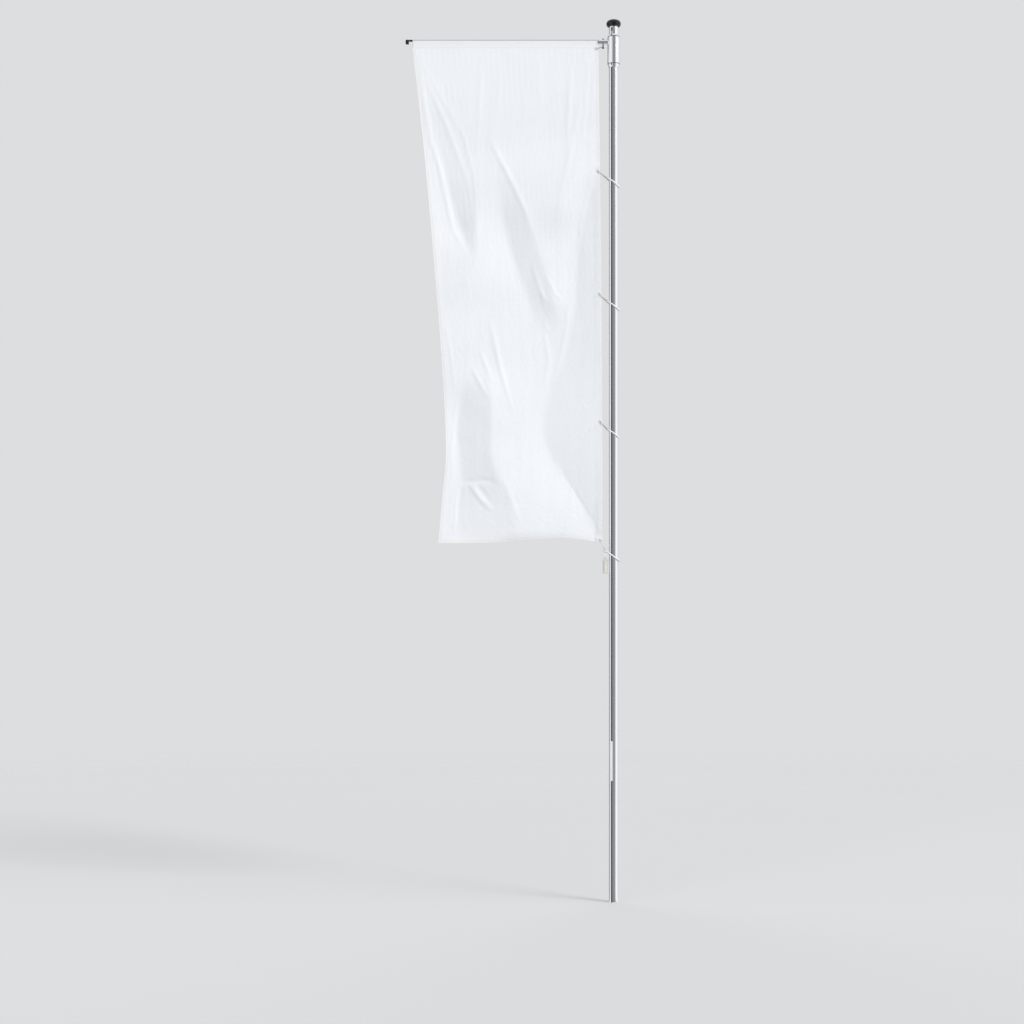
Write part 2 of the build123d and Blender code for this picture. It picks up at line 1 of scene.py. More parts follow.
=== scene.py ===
# %% [markdown]
# # Dressing a banner flagpole
# The construction of this flagpole is already solid modelled: a 7 m aluminium mast with a slot for its
# rope, a turning head with an arm, and a cloth banner on straps. This lesson gives it its looks. Hard
# pieces keep their solid shape and get a finish. Cloth and cords are modelled again as what they are.
# Everything is in metres, +Z up, with the mast's foot at the origin and the arm pointing along -X.

# %% Load the solid model
import bmesh
import bpy
import json
import math
from mathutils import Matrix, Vector, noise


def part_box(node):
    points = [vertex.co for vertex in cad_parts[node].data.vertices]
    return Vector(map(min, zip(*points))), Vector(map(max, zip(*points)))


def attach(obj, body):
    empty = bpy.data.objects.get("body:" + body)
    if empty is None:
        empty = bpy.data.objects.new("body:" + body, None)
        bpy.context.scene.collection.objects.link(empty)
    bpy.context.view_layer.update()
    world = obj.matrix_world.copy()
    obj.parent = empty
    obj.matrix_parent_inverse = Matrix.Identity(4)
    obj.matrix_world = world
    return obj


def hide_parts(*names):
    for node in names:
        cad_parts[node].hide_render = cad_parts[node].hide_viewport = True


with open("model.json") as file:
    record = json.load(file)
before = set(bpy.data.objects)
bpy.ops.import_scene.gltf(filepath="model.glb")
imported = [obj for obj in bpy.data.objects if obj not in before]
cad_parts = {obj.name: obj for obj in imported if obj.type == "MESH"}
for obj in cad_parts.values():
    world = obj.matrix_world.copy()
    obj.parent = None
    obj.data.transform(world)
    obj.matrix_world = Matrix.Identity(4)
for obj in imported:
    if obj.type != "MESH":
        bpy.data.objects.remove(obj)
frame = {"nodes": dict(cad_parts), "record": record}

scene = bpy.context.scene
nodes = frame["nodes"]
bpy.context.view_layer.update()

# %% [markdown]
# ## The camera
# The picture to match was taken about 15 m away, from a little above eye height, with the camera held
# level. A level camera keeps the mast upright in the picture, and the lens is shifted up to reach its
# top, as an architecture photographer does. Tilting the camera would make the mast lean.

# %% Camera
# The place, the lens and its shift come from matching the mast's foot, its cap and the banner.
camera_place = (-0.813, -15.5, 2.048)
focal_length, sensor_width, lens_shift = 68.1, 36, 0.1309


def in_scene(name, data):
    """A new object in the scene."""
    obj = bpy.data.objects.new(name, data)
    scene.collection.objects.link(obj)
    return obj


camera_data = bpy.data.cameras.new("camera")
camera_data.lens, camera_data.sensor_width = focal_length, sensor_width
camera_data.shift_y = lens_shift
camera = in_scene("camera", camera_data)
camera.location = camera_place
camera.rotation_euler = (math.radians(90), 0, 0)
scene.camera = camera
scene.view_settings.view_transform = "Standard"
print("camera field of view", round(math.degrees(camera_data.angle), 1), "degrees")

# %% [markdown]
# ## The light
# A white banner needs soft light, or its folds turn to glare. The world gives even light from all
# round, and one wide sun lamp from the right, about two thirds as strong, draws the folds. Together
# they light a pale surface so that it renders about as its colour is written. The camera and shiny
# surfaces see a pale grey backdrop in place of the world, so that white cloth stands out against it.

# %% Helpers for nodes
def plug(tree, made, links):
    """Fills inputs of a node. Links are (input name or number, socket or value)."""
    for label, source in links:
        if isinstance(source, bpy.types.NodeSocket):
            tree.links.new(source, made.inputs[label])
        else:
            made.inputs[label].default_value = source


def node(tree, kind, links=(), **settings):
    """A new shader node with its settings, and with its inputs filled."""
    made = tree.nodes.new("ShaderNode" + kind)
    for label, value in settings.items():
        setattr(made, label, value)
    plug(tree, made, links)
    return made


def maths(tree, operation, *values, use_clamp=False):
    """The result of a Math node on numbers or sockets."""
    made = node(tree, "Math", enumerate(values), operation=operation, use_clamp=use_clamp)
    return made.outputs[0]


# %% World and lamp
world_light, world_tint = 0.88, (0.985, 0.995, 1)
backdrop_tone = (0.715, 0.728, 0.74)
lamp_share, lamp_tint = 0.58, (1, 0.985, 0.96)
lamp_width, lamp_tilt, lamp_bearing = math.radians(24), math.radians(56), math.radians(48)

world = bpy.data.worlds.new("studio")
world.use_nodes = True
scene.world = world
tree = world.node_tree
even_light = tree.nodes["Background"]
plug(tree, even_light, [("Color", (*world_tint, 1)), ("Strength", world_light)])
seen = node(tree, "Background", [("Color", (*backdrop_tone, 1))])
path = node(tree, "LightPath").outputs
seeing = path["Is Camera Ray"]
for name in ("Is Glossy Ray", "Is Transmission Ray"):
    seeing = maths(tree, "MAXIMUM", seeing, path[name])
mix = node(tree, "MixShader", [(0, seeing), (1, even_light.outputs[0]), (2, seen.outputs[0])])
plug(tree, tree.nodes["World Output"], [("Surface", mix.outputs[0])])

lamp_data = bpy.data.lights.new("window_lamp", "SUN")
lamp_data.energy = lamp_share * math.pi
lamp_data.angle = lamp_width
lamp_data.color = lamp_tint
lamp = in_scene("window_lamp", lamp_data)
lamp.rotation_euler = (lamp_tilt, 0, lamp_bearing)
print("light from the world", world_light, "and from the lamp", lamp_share)

# %% [markdown]
# ## The floor
# The floor is a wide disc of pale matt paint that keeps the mast's shadow. Far out it fades away to
# the backdrop, so no edge or horizon crosses the picture.

# %% Helpers for meshes and materials
materials = {}


def mesh_from(name, bm):
    """The mesh made of a bmesh, which is freed."""
    mesh = bpy.data.meshes.new(name)
    bm.to_mesh(mesh)
    bm.free()
    return mesh


def stage_object(name, bm):
    """A new mesh object for the studio, not attached to the flagpole."""
    obj = in_scene(name, mesh_from(name, bm))
    return obj


def new_material(name, colour, roughness, metallic=0.0):
    """A material whose uniform values stand on the shader itself."""
    made = bpy.data.materials.new(name)
    made.use_nodes = True
    shader = made.node_tree.nodes["Principled BSDF"]
    plug(made.node_tree, shader, [("Base Color", (*colour, 1)), ("Roughness", roughness),
                                  ("Metallic", metallic)])
    materials[name] = made
    print("material", name)
    return made.node_tree, shader


def show(tree, shader):
    """Makes a shader the surface of its material."""
    plug(tree, tree.nodes["Material Output"], [("Surface", shader.outputs[0])])


def object_place(tree):
    """Places on the object, in metres."""
    return node(tree, "TexCoord").outputs["Object"]


def remapped(tree, value, low, high, to_low=0.0, to_high=1.0, **settings):
    """A value moved from one range to another, and kept inside it."""
    return node(tree, "MapRange",
                [("Value", value), ("From Min", low), ("From Max", high), ("To Min", to_low),
                 ("To Max", to_high)], **settings).outputs[0]


# %% Floor
floor_radius = 60
floor_tone = (0.588, 0.596, 0.604)
fade_start, fade_end = 9, 24

bm = bmesh.new()
bmesh.ops.create_circle(bm, cap_ends=True, segments=96, radius=floor_radius)
floor = stage_object("floor", bm)
tree, matt = new_material("floor_paint", floor_tone, 0.9)
matt.inputs["Specular IOR Level"].default_value = 0.1
reach = node(tree, "VectorMath", [(0, object_place(tree))], operation="LENGTH").outputs["Value"]
clear = node(tree, "BsdfTransparent")
faded = remapped(tree, reach, fade_start, fade_end)
show(tree, node(tree, "MixShader", [(0, faded), (1, matt.outputs[0]), (2, clear.outputs[0])]))
floor.data.materials.append(materials["floor_paint"])
print("floor", 2 * floor_radius, "m across")

# %% [markdown]
# ## What the metal mirrors
# Polished metal has hardly a colour of its own: it shows what stands round it. Product photographers
# put dark and bright cards about a shiny tube, and those become its long streaks. Many cards would do
# here too, but one drum round the mast is simpler to set: its tone changes with the bearing, dark behind
# the camera, bright on both sides, dim behind the mast, and its lid is a bright sky. Only shiny surfaces
# see the drum, and it adds no light.

# %% Mirrored drum
drum_radius, drum_height, drum_lift = 18, 17, 0.004

bm = bmesh.new()
bmesh.ops.create_circle(bm, cap_ends=True, segments=96, radius=drum_radius,
                        matrix=Matrix.Translation((0, 0, drum_lift)))
wall = bmesh.ops.extrude_edge_only(bm, edges=bm.edges[:])["geom"]
rim = [part for part in wall if isinstance(part, bmesh.types.BMVert)]
bmesh.ops.translate(bm, verts=rim, vec=(0, 0, drum_height))
bmesh.ops.contextual_create(bm, geom=[edge for edge in bm.edges if edge.is_boundary])
drum = stage_object("mirrored_drum", bm)
drum.visible_camera = drum.visible_diffuse = drum.visible_shadow = drum.visible_transmission = False
print("drum", 2 * drum_radius, "m across and", drum_height, "m high")

# %% Tones of the drum, as (bearing from the camera in degrees, tone)
bearing_tones = [(-180, 0.5), (-150, 0.42), (-108, 0.42), (-84, 0.8), (-60, 0.97), (-40, 0.88), (-22, 0.55),
                 (-8, 0.25), (20, 0.25), (36, 0.5), (54, 0.86), (76, 1.1), (104, 0.93), (141, 0.8),
                 (156, 0.5), (180, 0.5)]
wall_tint = (0.975, 1, 1.03)
lid_tone, lid_tint = 0.8, (0.985, 1, 1.015)
camera_bearing = math.degrees(math.atan2(camera.location.x, -camera.location.y))
COLOUR_INPUTS, COLOUR_OUTPUT = (6, 7), 2  # of a Mix node that mixes colours


def blend_colours(tree, mask, under, over):
    """The under colour, with the over colour where the mask is 1. Either can be a socket."""
    colours = [c if isinstance(c, bpy.types.NodeSocket) else (*c, 1) for c in (under, over)]
    links = [("Factor", mask), *zip(COLOUR_INPUTS, colours)]
    return node(tree, "Mix", links, data_type="RGBA").outputs[COLOUR_OUTPUT]


glow = bpy.data.materials.new("drum_tones")
glow.use_nodes = True
tree = glow.node_tree
parts = node(tree, "SeparateXYZ", [(0, object_place(tree))]).outputs
bearing = maths(tree, "ARCTAN2", parts["X"], maths(tree, "MULTIPLY", parts["Y"], -1))
ramp = node(tree, "ValToRGB", [("Fac", remapped(tree, bearing, -math.pi, math.pi))])
while len(ramp.color_ramp.elements) < len(bearing_tones):
    ramp.color_ramp.elements.new(0.5)
for stop, (degrees, tone) in zip(ramp.color_ramp.elements, bearing_tones):
    stop.position = min(1, max(0, (degrees + camera_bearing + 180) / 360))
    stop.color = (*(tone * c for c in wall_tint), 1)
above = maths(tree, "GREATER_THAN", parts["Z"], drum_height)
tone = blend_colours(tree, above, ramp.outputs["Color"], [lid_tone * c for c in lid_tint])
show(tree, node(tree, "Emission", [("Color", tone)]))
drum.data.materials.append(glow)
print(len(bearing_tones), "tones on the drum's wall, from", min(t for _, t in bearing_tones),
      "to", max(t for _, t in bearing_tones))

# %% [markdown]
# ## Effects that the finishes share
# The same few things happen to many materials: polishing leaves fine lines, hands and rain leave soft
# marks, dust settles on what faces up, and edges rub bright. Each effect is a node group with named
# sockets, built once and then placed, with its own values, in each material that shows it.

# %% Helpers for node groups
FLOAT, VECTOR = "NodeSocketFloat", "NodeSocketVector"


def effect(name, inputs, outputs):
    """An empty node group with named sockets. Inputs are (name, type, value), outputs (name, type)."""
    group = bpy.data.node_groups.new(name, "ShaderNodeTree")
    for label, kind, value in inputs:
        group.interface.new_socket(label, in_out="INPUT", socket_type=kind).default_value = value
    for label, kind in outputs:
        group.interface.new_socket(label, in_out="OUTPUT", socket_type=kind)
    print("effect", name, "puts out", [label for label, _ in outputs])
    return group, group.nodes.new("NodeGroupInput").outputs, group.nodes.new("NodeGroupOutput")


def scaled(tree, place, scale):
    """Places multiplied by a vector."""
    return node(tree, "VectorMath", [(0, place), (1, scale)], operation="MULTIPLY").outputs[0]


def noise_at(tree, place, scale, detail, roughness=0.5, distortion=0.0):
    """A noise texture's value at the places."""
    return node(tree, "TexNoise",
                [("Vector", place), ("Scale", scale), ("Detail", detail), ("Roughness", roughness),
                 ("Distortion", distortion)]).outputs["Fac"]


# %% Polishing lines
tree, given, end = effect("polish_lines", [("Lines Per Metre", VECTOR, (900, 900, 3))],
                          [("Height", FLOAT), ("Mask", FLOAT)])
lines = noise_at(tree, scaled(tree, object_place(tree), given["Lines Per Metre"]), 1.0, 3.0, 0.6)
plug(tree, end, [("Height", lines), ("Mask", remapped(tree, lines, 0.35, 0.65))])

# %% Soft marks
tree, given, end = effect("soft_marks", [("Marks Per Metre", VECTOR, (6, 6, 2)), ("Amount", FLOAT, 0.5)],
                          [("Mask", FLOAT)])
cloud = noise_at(tree, scaled(tree, object_place(tree), given["Marks Per Metre"]), 1.0, 5.0, 0.62, 0.4)
level = maths(tree, "SUBTRACT", 0.75, given["Amount"])
plug(tree, end, [("Mask", remapped(tree, cloud, level, 0.8, interpolation_type="SMOOTHSTEP"))])

# %% Settled dust
tree, given, end = effect("settled_dust", [("Amount", FLOAT, 0.4)], [("Mask", FLOAT)])
facing = node(tree, "NewGeometry").outputs["Normal"]
upward = node(tree, "SeparateXYZ", [(0, facing)]).outputs["Z"]
lying = remapped(tree, upward, 0.3, 1.0, interpolation_type="SMOOTHSTEP")
speckle = maths(tree, "MULTIPLY", lying, noise_at(tree, object_place(tree), 90.0, 4.0, 0.7))
plug(tree, end, [("Mask", maths(tree, "MULTIPLY", speckle, given["Amount"], use_clamp=True))])

# %% Rubbed edges
tree, given, end = effect("rubbed_edges", [("Reach", FLOAT, 0.0008), ("Amount", FLOAT, 1.0)],
                          [("Mask", FLOAT)])
rounded = node(tree, "Bevel", [("Radius", given["Reach"])], samples=4).outputs["Normal"]
facing = node(tree, "NewGeometry").outputs["Normal"]
turned = node(tree, "VectorMath", [(0, rounded), (1, facing)], operation="DOT_PRODUCT")
edge = remapped(tree, turned.outputs["Value"], 0.995, 0.85)
plug(tree, end, [("Mask", maths(tree, "MULTIPLY", edge, given["Amount"], use_clamp=True))])

# %% [markdown]
# ## The metals
# The mast is an aluminium section, polished and anodised: a bright mirror, slightly soft, with fine
# lines drawn along it. Inside the slot the metal lies in deep shade, and that shade is painted: a mask
# by the distance from the mast's axis makes the metal near black and dull there. The head is turned and
# polished in the same metal, and the lock plate is satin. Links are plain steel, and screws are blackened.

# %% Helpers for finishes
def use(tree, name, **values):
    """Places an effect in a material with its own values, and returns what it puts out."""
    links = [(label.replace("_", " "), value) for label, value in values.items()]
    return node(tree, "Group", links, node_tree=bpy.data.node_groups[name]).outputs


def bump(tree, height, distance, strength=1.0):
    """A normal made uneven by a height, in metres."""
    return node(tree, "Bump",
                [("Height", height), ("Distance", distance), ("Strength", strength)]).outputs["Normal"]


# %% Polished aluminium
# slot_shade is the painted shade inside the mast's slot, near black.
rubbed_tone, dust_on_metal, slot_shade = (0.93, 0.935, 0.94), (0.42, 0.41, 0.38), (0.01, 0.0102, 0.0108)


def polished_aluminium(name, colour, roughness, lines_per_metre, dust_amount=0.1, shaded_within=None):
    """Anodised metal with drawn lines, faint marks, rubbed edges, and painted shade inside if asked."""
    tree, shader = new_material(name, colour, roughness[0], 1.0)
    lines = use(tree, "polish_lines", Lines_Per_Metre=lines_per_metre)
    marks = use(tree, "soft_marks", Marks_Per_Metre=(7, 7, 2.2), Amount=0.3)["Mask"]
    edges = use(tree, "rubbed_edges", Reach=0.0012, Amount=0.7)["Mask"]
    dust = use(tree, "settled_dust", Amount=dust_amount)["Mask"]
    tint = blend_colours(tree, marks, colour, [c * 0.93 for c in colour])
    tint = blend_colours(tree, edges, tint, rubbed_tone)
    tint = blend_colours(tree, dust, tint, dust_on_metal)
    rough = maths(tree, "MULTIPLY_ADD", marks, 0.08, remapped(tree, lines["Mask"], 0, 1, *roughness))
    metal = maths(tree, "SUBTRACT", 1, dust)
    # Painted shade: within this distance of the axis, inside the slot, the metal is painted near black and
    # dull.
    if shaded_within:
        level = scaled(tree, object_place(tree), (1, 1, 0))
        from_axis = node(tree, "VectorMath", [(0, level)], operation="LENGTH").outputs["Value"]
        inside = remapped(tree, from_axis, shaded_within, shaded_within - 0.0008)
        tint = blend_colours(tree, inside, tint, slot_shade)
        rough = maths(tree, "MULTIPLY_ADD", inside, 0.5, rough, use_clamp=True)
        metal = maths(tree, "SUBTRACT", metal, inside, use_clamp=True)
    plug(tree, shader, [("Base Color", tint), ("Roughness", rough), ("Metallic", metal),
                        ("Normal", bump(tree, lines["Height"], 0.00002))])


polished_aluminium("mast_metal", (0.9, 0.905, 0.91), (0.12, 0.19), (1100, 1100, 2.5), shaded_within=0.0368)
polished_aluminium("head_metal", (0.92, 0.925, 0.93), (0.1, 0.17), (700, 700, 900))
polished_aluminium("lock_metal", (0.93, 0.935, 0.94), (0.2, 0.3), (1300, 1300, 8))
polished_aluminium("steel", (0.78, 0.785, 0.79), (0.18, 0.32), (900, 900, 900))
polished_aluminium("black_steel", (0.03, 0.03, 0.032), (0.35, 0.5), (900, 900, 900), dust_amount=0.03)
polished_aluminium("eyelet_metal", (0.74, 0.735, 0.72), (0.2, 0.32), (1500, 1500, 1500))

# %% [markdown]
# ## The plastics
# The cap, the rod and its end pieces are black, the clips grey and the weight off-white. Moulded
# plastic is never quite even: it has a fine grain, a slightly cloudy gloss, paler rubbed edges and
# some dust on top, which shows most on black.

# %% Moulded plastic
dust_on_plastic = (0.5, 0.49, 0.46)


def moulded_plastic(name, colour, roughness, grain, dust_amount, worn, shine=0.5):
    """Plastic with a fine moulded grain, cloudy gloss, worn edges and settled dust."""
    tree, shader = new_material(name, colour, roughness[0])
    marks = use(tree, "soft_marks", Marks_Per_Metre=(40, 40, 40), Amount=0.4)["Mask"]
    edges = use(tree, "rubbed_edges", Reach=0.001, Amount=0.6)["Mask"]
    dust = use(tree, "settled_dust", Amount=dust_amount)["Mask"]
    pores = noise_at(tree, object_place(tree), 1400.0, 2.0)
    tint = blend_colours(tree, marks, colour, [min(1, c * 1.12 + 0.004) for c in colour])
    tint = blend_colours(tree, edges, tint, worn)
    tint = blend_colours(tree, dust, tint, dust_on_plastic)
    cloudy = remapped(tree, marks, 0, 1, *roughness)
    plug(tree, shader, [("Base Color", tint), ("Specular IOR Level", shine),
                        ("Roughness", maths(tree, "MULTIPLY_ADD", dust, 0.4, cloudy, use_clamp=True)),
                        ("Normal", bump(tree, pores, grain))])


moulded_plastic("cap_plastic", (0.006, 0.0065, 0.007), (0.09, 0.17), 0.00002, 0.03, (0.03, 0.03, 0.032), 0.4)
moulded_plastic("dark_plastic", (0.01, 0.0105, 0.0115), (0.28, 0.42), 0.00005, 0.05,
                (0.04, 0.04, 0.042), 0.3)
moulded_plastic("clip_plastic", (0.36, 0.37, 0.37), (0.3, 0.42), 0.00004, 0.1, (0.48, 0.49, 0.48))
moulded_plastic("weight_plastic", (0.6, 0.59, 0.56), (0.38, 0.5), 0.00006, 0.3, (0.72, 0.71, 0.68))

# %% [markdown]
# ## The rope and the cords
# The halyard is a braided rope and the straps are thin braided cord. A braid is two sets of strands
# that wind round in opposite ways. Here two waves that lean 35 degrees to either side cross, and the
# higher one shows. The cords get real lobed strands in their mesh as well, and fine fibres on top.

# %% Braided rope and cord
braid_lean = math.radians(35)


def braided(name, colour, dark, wave_scale, fuzz):
    """Braid drawn by two crossing waves, with painted shade between the strands and fibre noise on top."""
    tree, shader = new_material(name, colour, 0.8)
    place = object_place(tree)
    strands = []
    for lean in (braid_lean, -braid_lean):
        turned = node(tree, "Mapping", [("Vector", place), ("Rotation", (0, lean, 0))])
        wave = node(tree, "TexWave",
                    [("Vector", turned.outputs[0]), ("Scale", wave_scale), ("Distortion", 0.6),
                     ("Detail", 1.0), ("Detail Scale", 2.0)], bands_direction="Z")
        strands.append(wave.outputs["Fac"])
    crossed = maths(tree, "MAXIMUM", *strands)
    relief = maths(tree, "MULTIPLY_ADD", noise_at(tree, place, 3000.0, 3.0), 0.35, crossed)
    # Painted shade: where neither wave is high, between the strands, the colour is painted darker.
    plug(tree, shader, [("Base Color", blend_colours(tree, crossed, dark, colour)),
                        ("Normal", bump(tree, relief, 0.0004)), ("Sheen Weight", fuzz),
                        ("Sheen Roughness", 0.5)])


# The second colour of each is the painted shade between the strands.
braided("halyard_rope", (0.028, 0.028, 0.03), (0.01, 0.01, 0.011), 60, 0.02)
braided("strap_cord", (0.9, 0.9, 0.89), (0.76, 0.76, 0.76), 90, 0.2)

# %% [markdown]
# ## Finishes on the solid pieces
# Every solid piece names the finish it was given in the model's record. The new material simply takes
# that slot. The pieces that follow as cloth and cord are modelled again further down.

# %% Give each solid piece its finish
slot_of = {part["node"]: part["material_slot"] for part in frame["record"]["subparts"]}
for name, obj in nodes.items():
    if slot_of[name] in materials:
        obj.data.materials.clear()
        obj.data.materials.append(materials[slot_of[name]])
print("finished", sum(slot_of[name] in materials for name in nodes), "of", len(nodes), "solid pieces")

# %% [markdown]
# ## The banner's cloth
# The banner is thin knitted polyester, white and a little see-through: light from behind glows in it.
# Its threads are far too fine to model, so they are a bump that follows the cloth's own UV map, which
# gives places on the flat cut. The glow is a Translucent shader mixed into the surface.

# %% Weave
tree, given, end = effect("weave", [("Threads", VECTOR, (1200, 3200, 1))],
                          [("Height", FLOAT), ("Mask", FLOAT)])
threads = scaled(tree, node(tree, "UVMap").outputs["UV"], given["Threads"])
parts = node(tree, "SeparateXYZ", [(0, threads)]).outputs
crossing = maths(tree, "MULTIPLY", maths(tree, "SINE", parts["X"]), maths(tree, "SINE", parts["Y"]))
plug(tree, end, [("Height", remapped(tree, crossing, -1, 1)),
                 ("Mask", noise_at(tree, threads, 0.02, 3.0, 0.6))])

# %% Polyester
# The sine of the weave runs through this many radians across and down the cut: 0.8 threads a millimetre.
weave_radians = (7400, 19800, 1)
# rod_shade is how dark the painted shade of the rod inside the tunnel is, as a share of the cloth's colour.
rod_shade = 0.53


def polyester(name, colour, glow, rod_height=None):
    """Thin knitted polyester: uneven threads, soft sheen, light from behind, and painted shade where a rod
    lies inside.
    """
    tree, shader = new_material(name, colour, 0.62)
    knit = use(tree, "weave", Threads=weave_radians)
    marks = use(tree, "soft_marks", Marks_Per_Metre=(2.5, 2.5, 2.5), Amount=0.35)["Mask"]
    tint = blend_colours(tree, knit["Mask"], [c * 0.975 for c in colour], colour)
    tint = blend_colours(tree, marks, tint, [c * 0.965 for c in colour])
    # Painted shade: a band at the rod's height is painted darker, standing in for the light from behind that
    # the rod blocks.
    if rod_height is not None:
        height = node(tree, "SeparateXYZ", [(0, object_place(tree))]).outputs["Z"]
        painted_rod_shade = remapped(tree, height, rod_height - 0.004, rod_height - 0.001)
        tint = blend_colours(tree, painted_rod_shade, tint, [c * rod_shade for c in colour])
    uneven = bump(tree, knit["Height"], 0.00012, 0.6)
    plug(tree, shader, [("Base Color", tint), ("Roughness", remapped(tree, knit["Mask"], 0, 1, 0.55, 0.7)),
                        ("Normal", uneven), ("Sheen Weight", 0.15), ("Sheen Roughness", 0.4),
                        ("Specular IOR Level", 0.3)])
    through = node(tree, "BsdfTranslucent", [("Color", tint), ("Normal", uneven)])
    show(tree, node(tree, "MixShader", [(0, glow), (1, shader.outputs[0]), (2, through.outputs[0])]))


polyester("banner_fabric", (0.882, 0.903, 0.934), 0.25)
polyester("hem_fabric", (0.84, 0.846, 0.85), 0.12)
rod_low, rod_high = (Vector(corner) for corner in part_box("arm_rod"))
rod_z, rod_radius = (rod_low.z + rod_high.z) / 2, (rod_high.z - rod_low.z) / 2
# The tunnel's cloth gets the painted shade of the rod, at the rod's height.
polyester("tunnel_fabric", (0.92, 0.935, 0.955), 0.2, rod_z)
print("the rod shows through the tunnel at", round(rod_z, 3), "m")

# %% [markdown]
# ## The shape of the cut and of the hanging banner
# The banner is cut 1487 mm wide, and 3965 mm hang below its tunnel. On the mast it hangs narrower: the
# free edge is drawn in, because the cloth is gathered into folds, and the lower edge bows a little. The
# two outline curves below say how far. Part of the width that goes missing lies in the folds, and part
# is the knit itself, which its own weight draws in.

# %% Outline of the hanging banner
cloth_start, cloth_width = 0.122, 1.487
cloth_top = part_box("banner_tunnel")[0][2]
cloth_length = 3.965
mast_side_draw = 0.032
free_side = [(0, 0), (0.822, 0.092), (1.623, 0.164), (2.423, 0.228), (3.223, 0.268), (3.623, 0.236),
             (3.965, 0.205)]
lower_side = [(0, 0), (0.076, 0.018), (0.229, 0.043), (0.443, 0.029), (0.687, 0.004), (1, 0)]


def along_curve(points, at):
    """The height of a smooth curve through points (place, height)."""
    last = len(points) - 1
    i = next(n for n in range(last) if at <= points[n + 1][0] or n == last - 1)
    (x0, y0), (x1, y1) = points[i], points[i + 1]
    before, after = points[max(0, i - 1)], points[min(last, i + 2)]
    slope0 = (y1 - before[1]) / (x1 - before[0])
    slope1 = (after[1] - y0) / (after[0] - x0)
    t, h = (at - x0) / (x1 - x0), x1 - x0
    return ((2 * t ** 3 - 3 * t ** 2 + 1) * y0 + (t ** 3 - 2 * t ** 2 + t) * h * slope0
            + (3 * t ** 2 - 2 * t ** 3) * y1 + (t ** 3 - t ** 2) * h * slope1)


def side_edges(drop):
    """How far from the mast's axis the cloth's two side edges hang, at one drop below the tunnel."""
    share = drop / cloth_length
    near = cloth_start - mast_side_draw * share * (2 - share)
    return near, cloth_start + cloth_width - along_curve(free_side, drop)


for drop in (0, 2, cloth_length):
    print("banner edges at", drop, "m below the tunnel:", [round(x, 3) for x in side_edges(drop)])

# %% [markdown]
# ## Where the folds run
# Folds in hanging cloth start where it is held and fan out from there: from both ends of the arm they
# run down and inwards, cross in the middle, and lower down a pull towards the bottom corner crosses
# them. The broad ones are crests and hollows, and the cloth spans almost straight from one to the next.
# On them lie fine creases, thin and sharp. A little noise is added, because no cloth is ever even.

# %% Lines of the broad folds, as (height, place, depth away from the camera)
broad_folds = [
    # crease below the far corner
    [(6.37, -1.44, 0.005), (6.07, -1.4, 0.012), (5.61, -1.29, 0.018), (5.13, -1.13, 0.015)],
    # left rim of the bright middle
    [(6.1, -1.06, -0.005), (5.61, -1.1, -0.02), (5.13, -1.11, -0.028), (4.86, -1.21, -0.03),
     (4.68, -1.31, -0.028)],
    # middle hollow
    [(5.8, -0.88, 0.006), (5.4, -0.87, 0.026), (5.04, -0.76, 0.036), (4.8, -0.67, 0.038),
     (4.52, -0.56, 0.037), (4.28, -0.49, 0.036)],
    # crest right of the middle
    [(6.1, -0.99, -0.01), (5.83, -0.85, -0.018), (5.58, -0.73, -0.02), (5.28, -0.62, -0.008),
     (5.04, -0.55, 0.0), (4.8, -0.48, 0.005), (4.55, -0.45, 0.02)],
    # crest from the mast's top
    [(6.22, -0.17, -0.006), (5.92, -0.29, -0.02), (5.52, -0.43, -0.028), (5.28, -0.54, -0.018)],
    # hollow beside the mast
    [(5.98, -0.13, 0.002), (5.61, -0.21, 0.02), (5.28, -0.29, 0.036), (4.68, -0.32, 0.042),
     (4.25, -0.45, 0.042), (3.98, -0.54, 0.04), (3.68, -0.55, 0.042), (3.34, -0.37, 0.042),
     (3.01, -0.17, 0.022), (2.86, -0.12, 0.008)],
    # hollow by the free edge
    [(4.28, -1.13, 0.004), (3.83, -1.25, 0.017), (3.55, -1.23, 0.017), (3.34, -1.21, 0.014),
     (2.89, -1.21, 0.01)],
    # crest by the free edge
    [(4.43, -1.05, -0.026), (4.01, -0.98, -0.036), (3.52, -0.97, -0.036), (3.34, -0.88, -0.032),
     (2.89, -0.76, -0.018)],
]

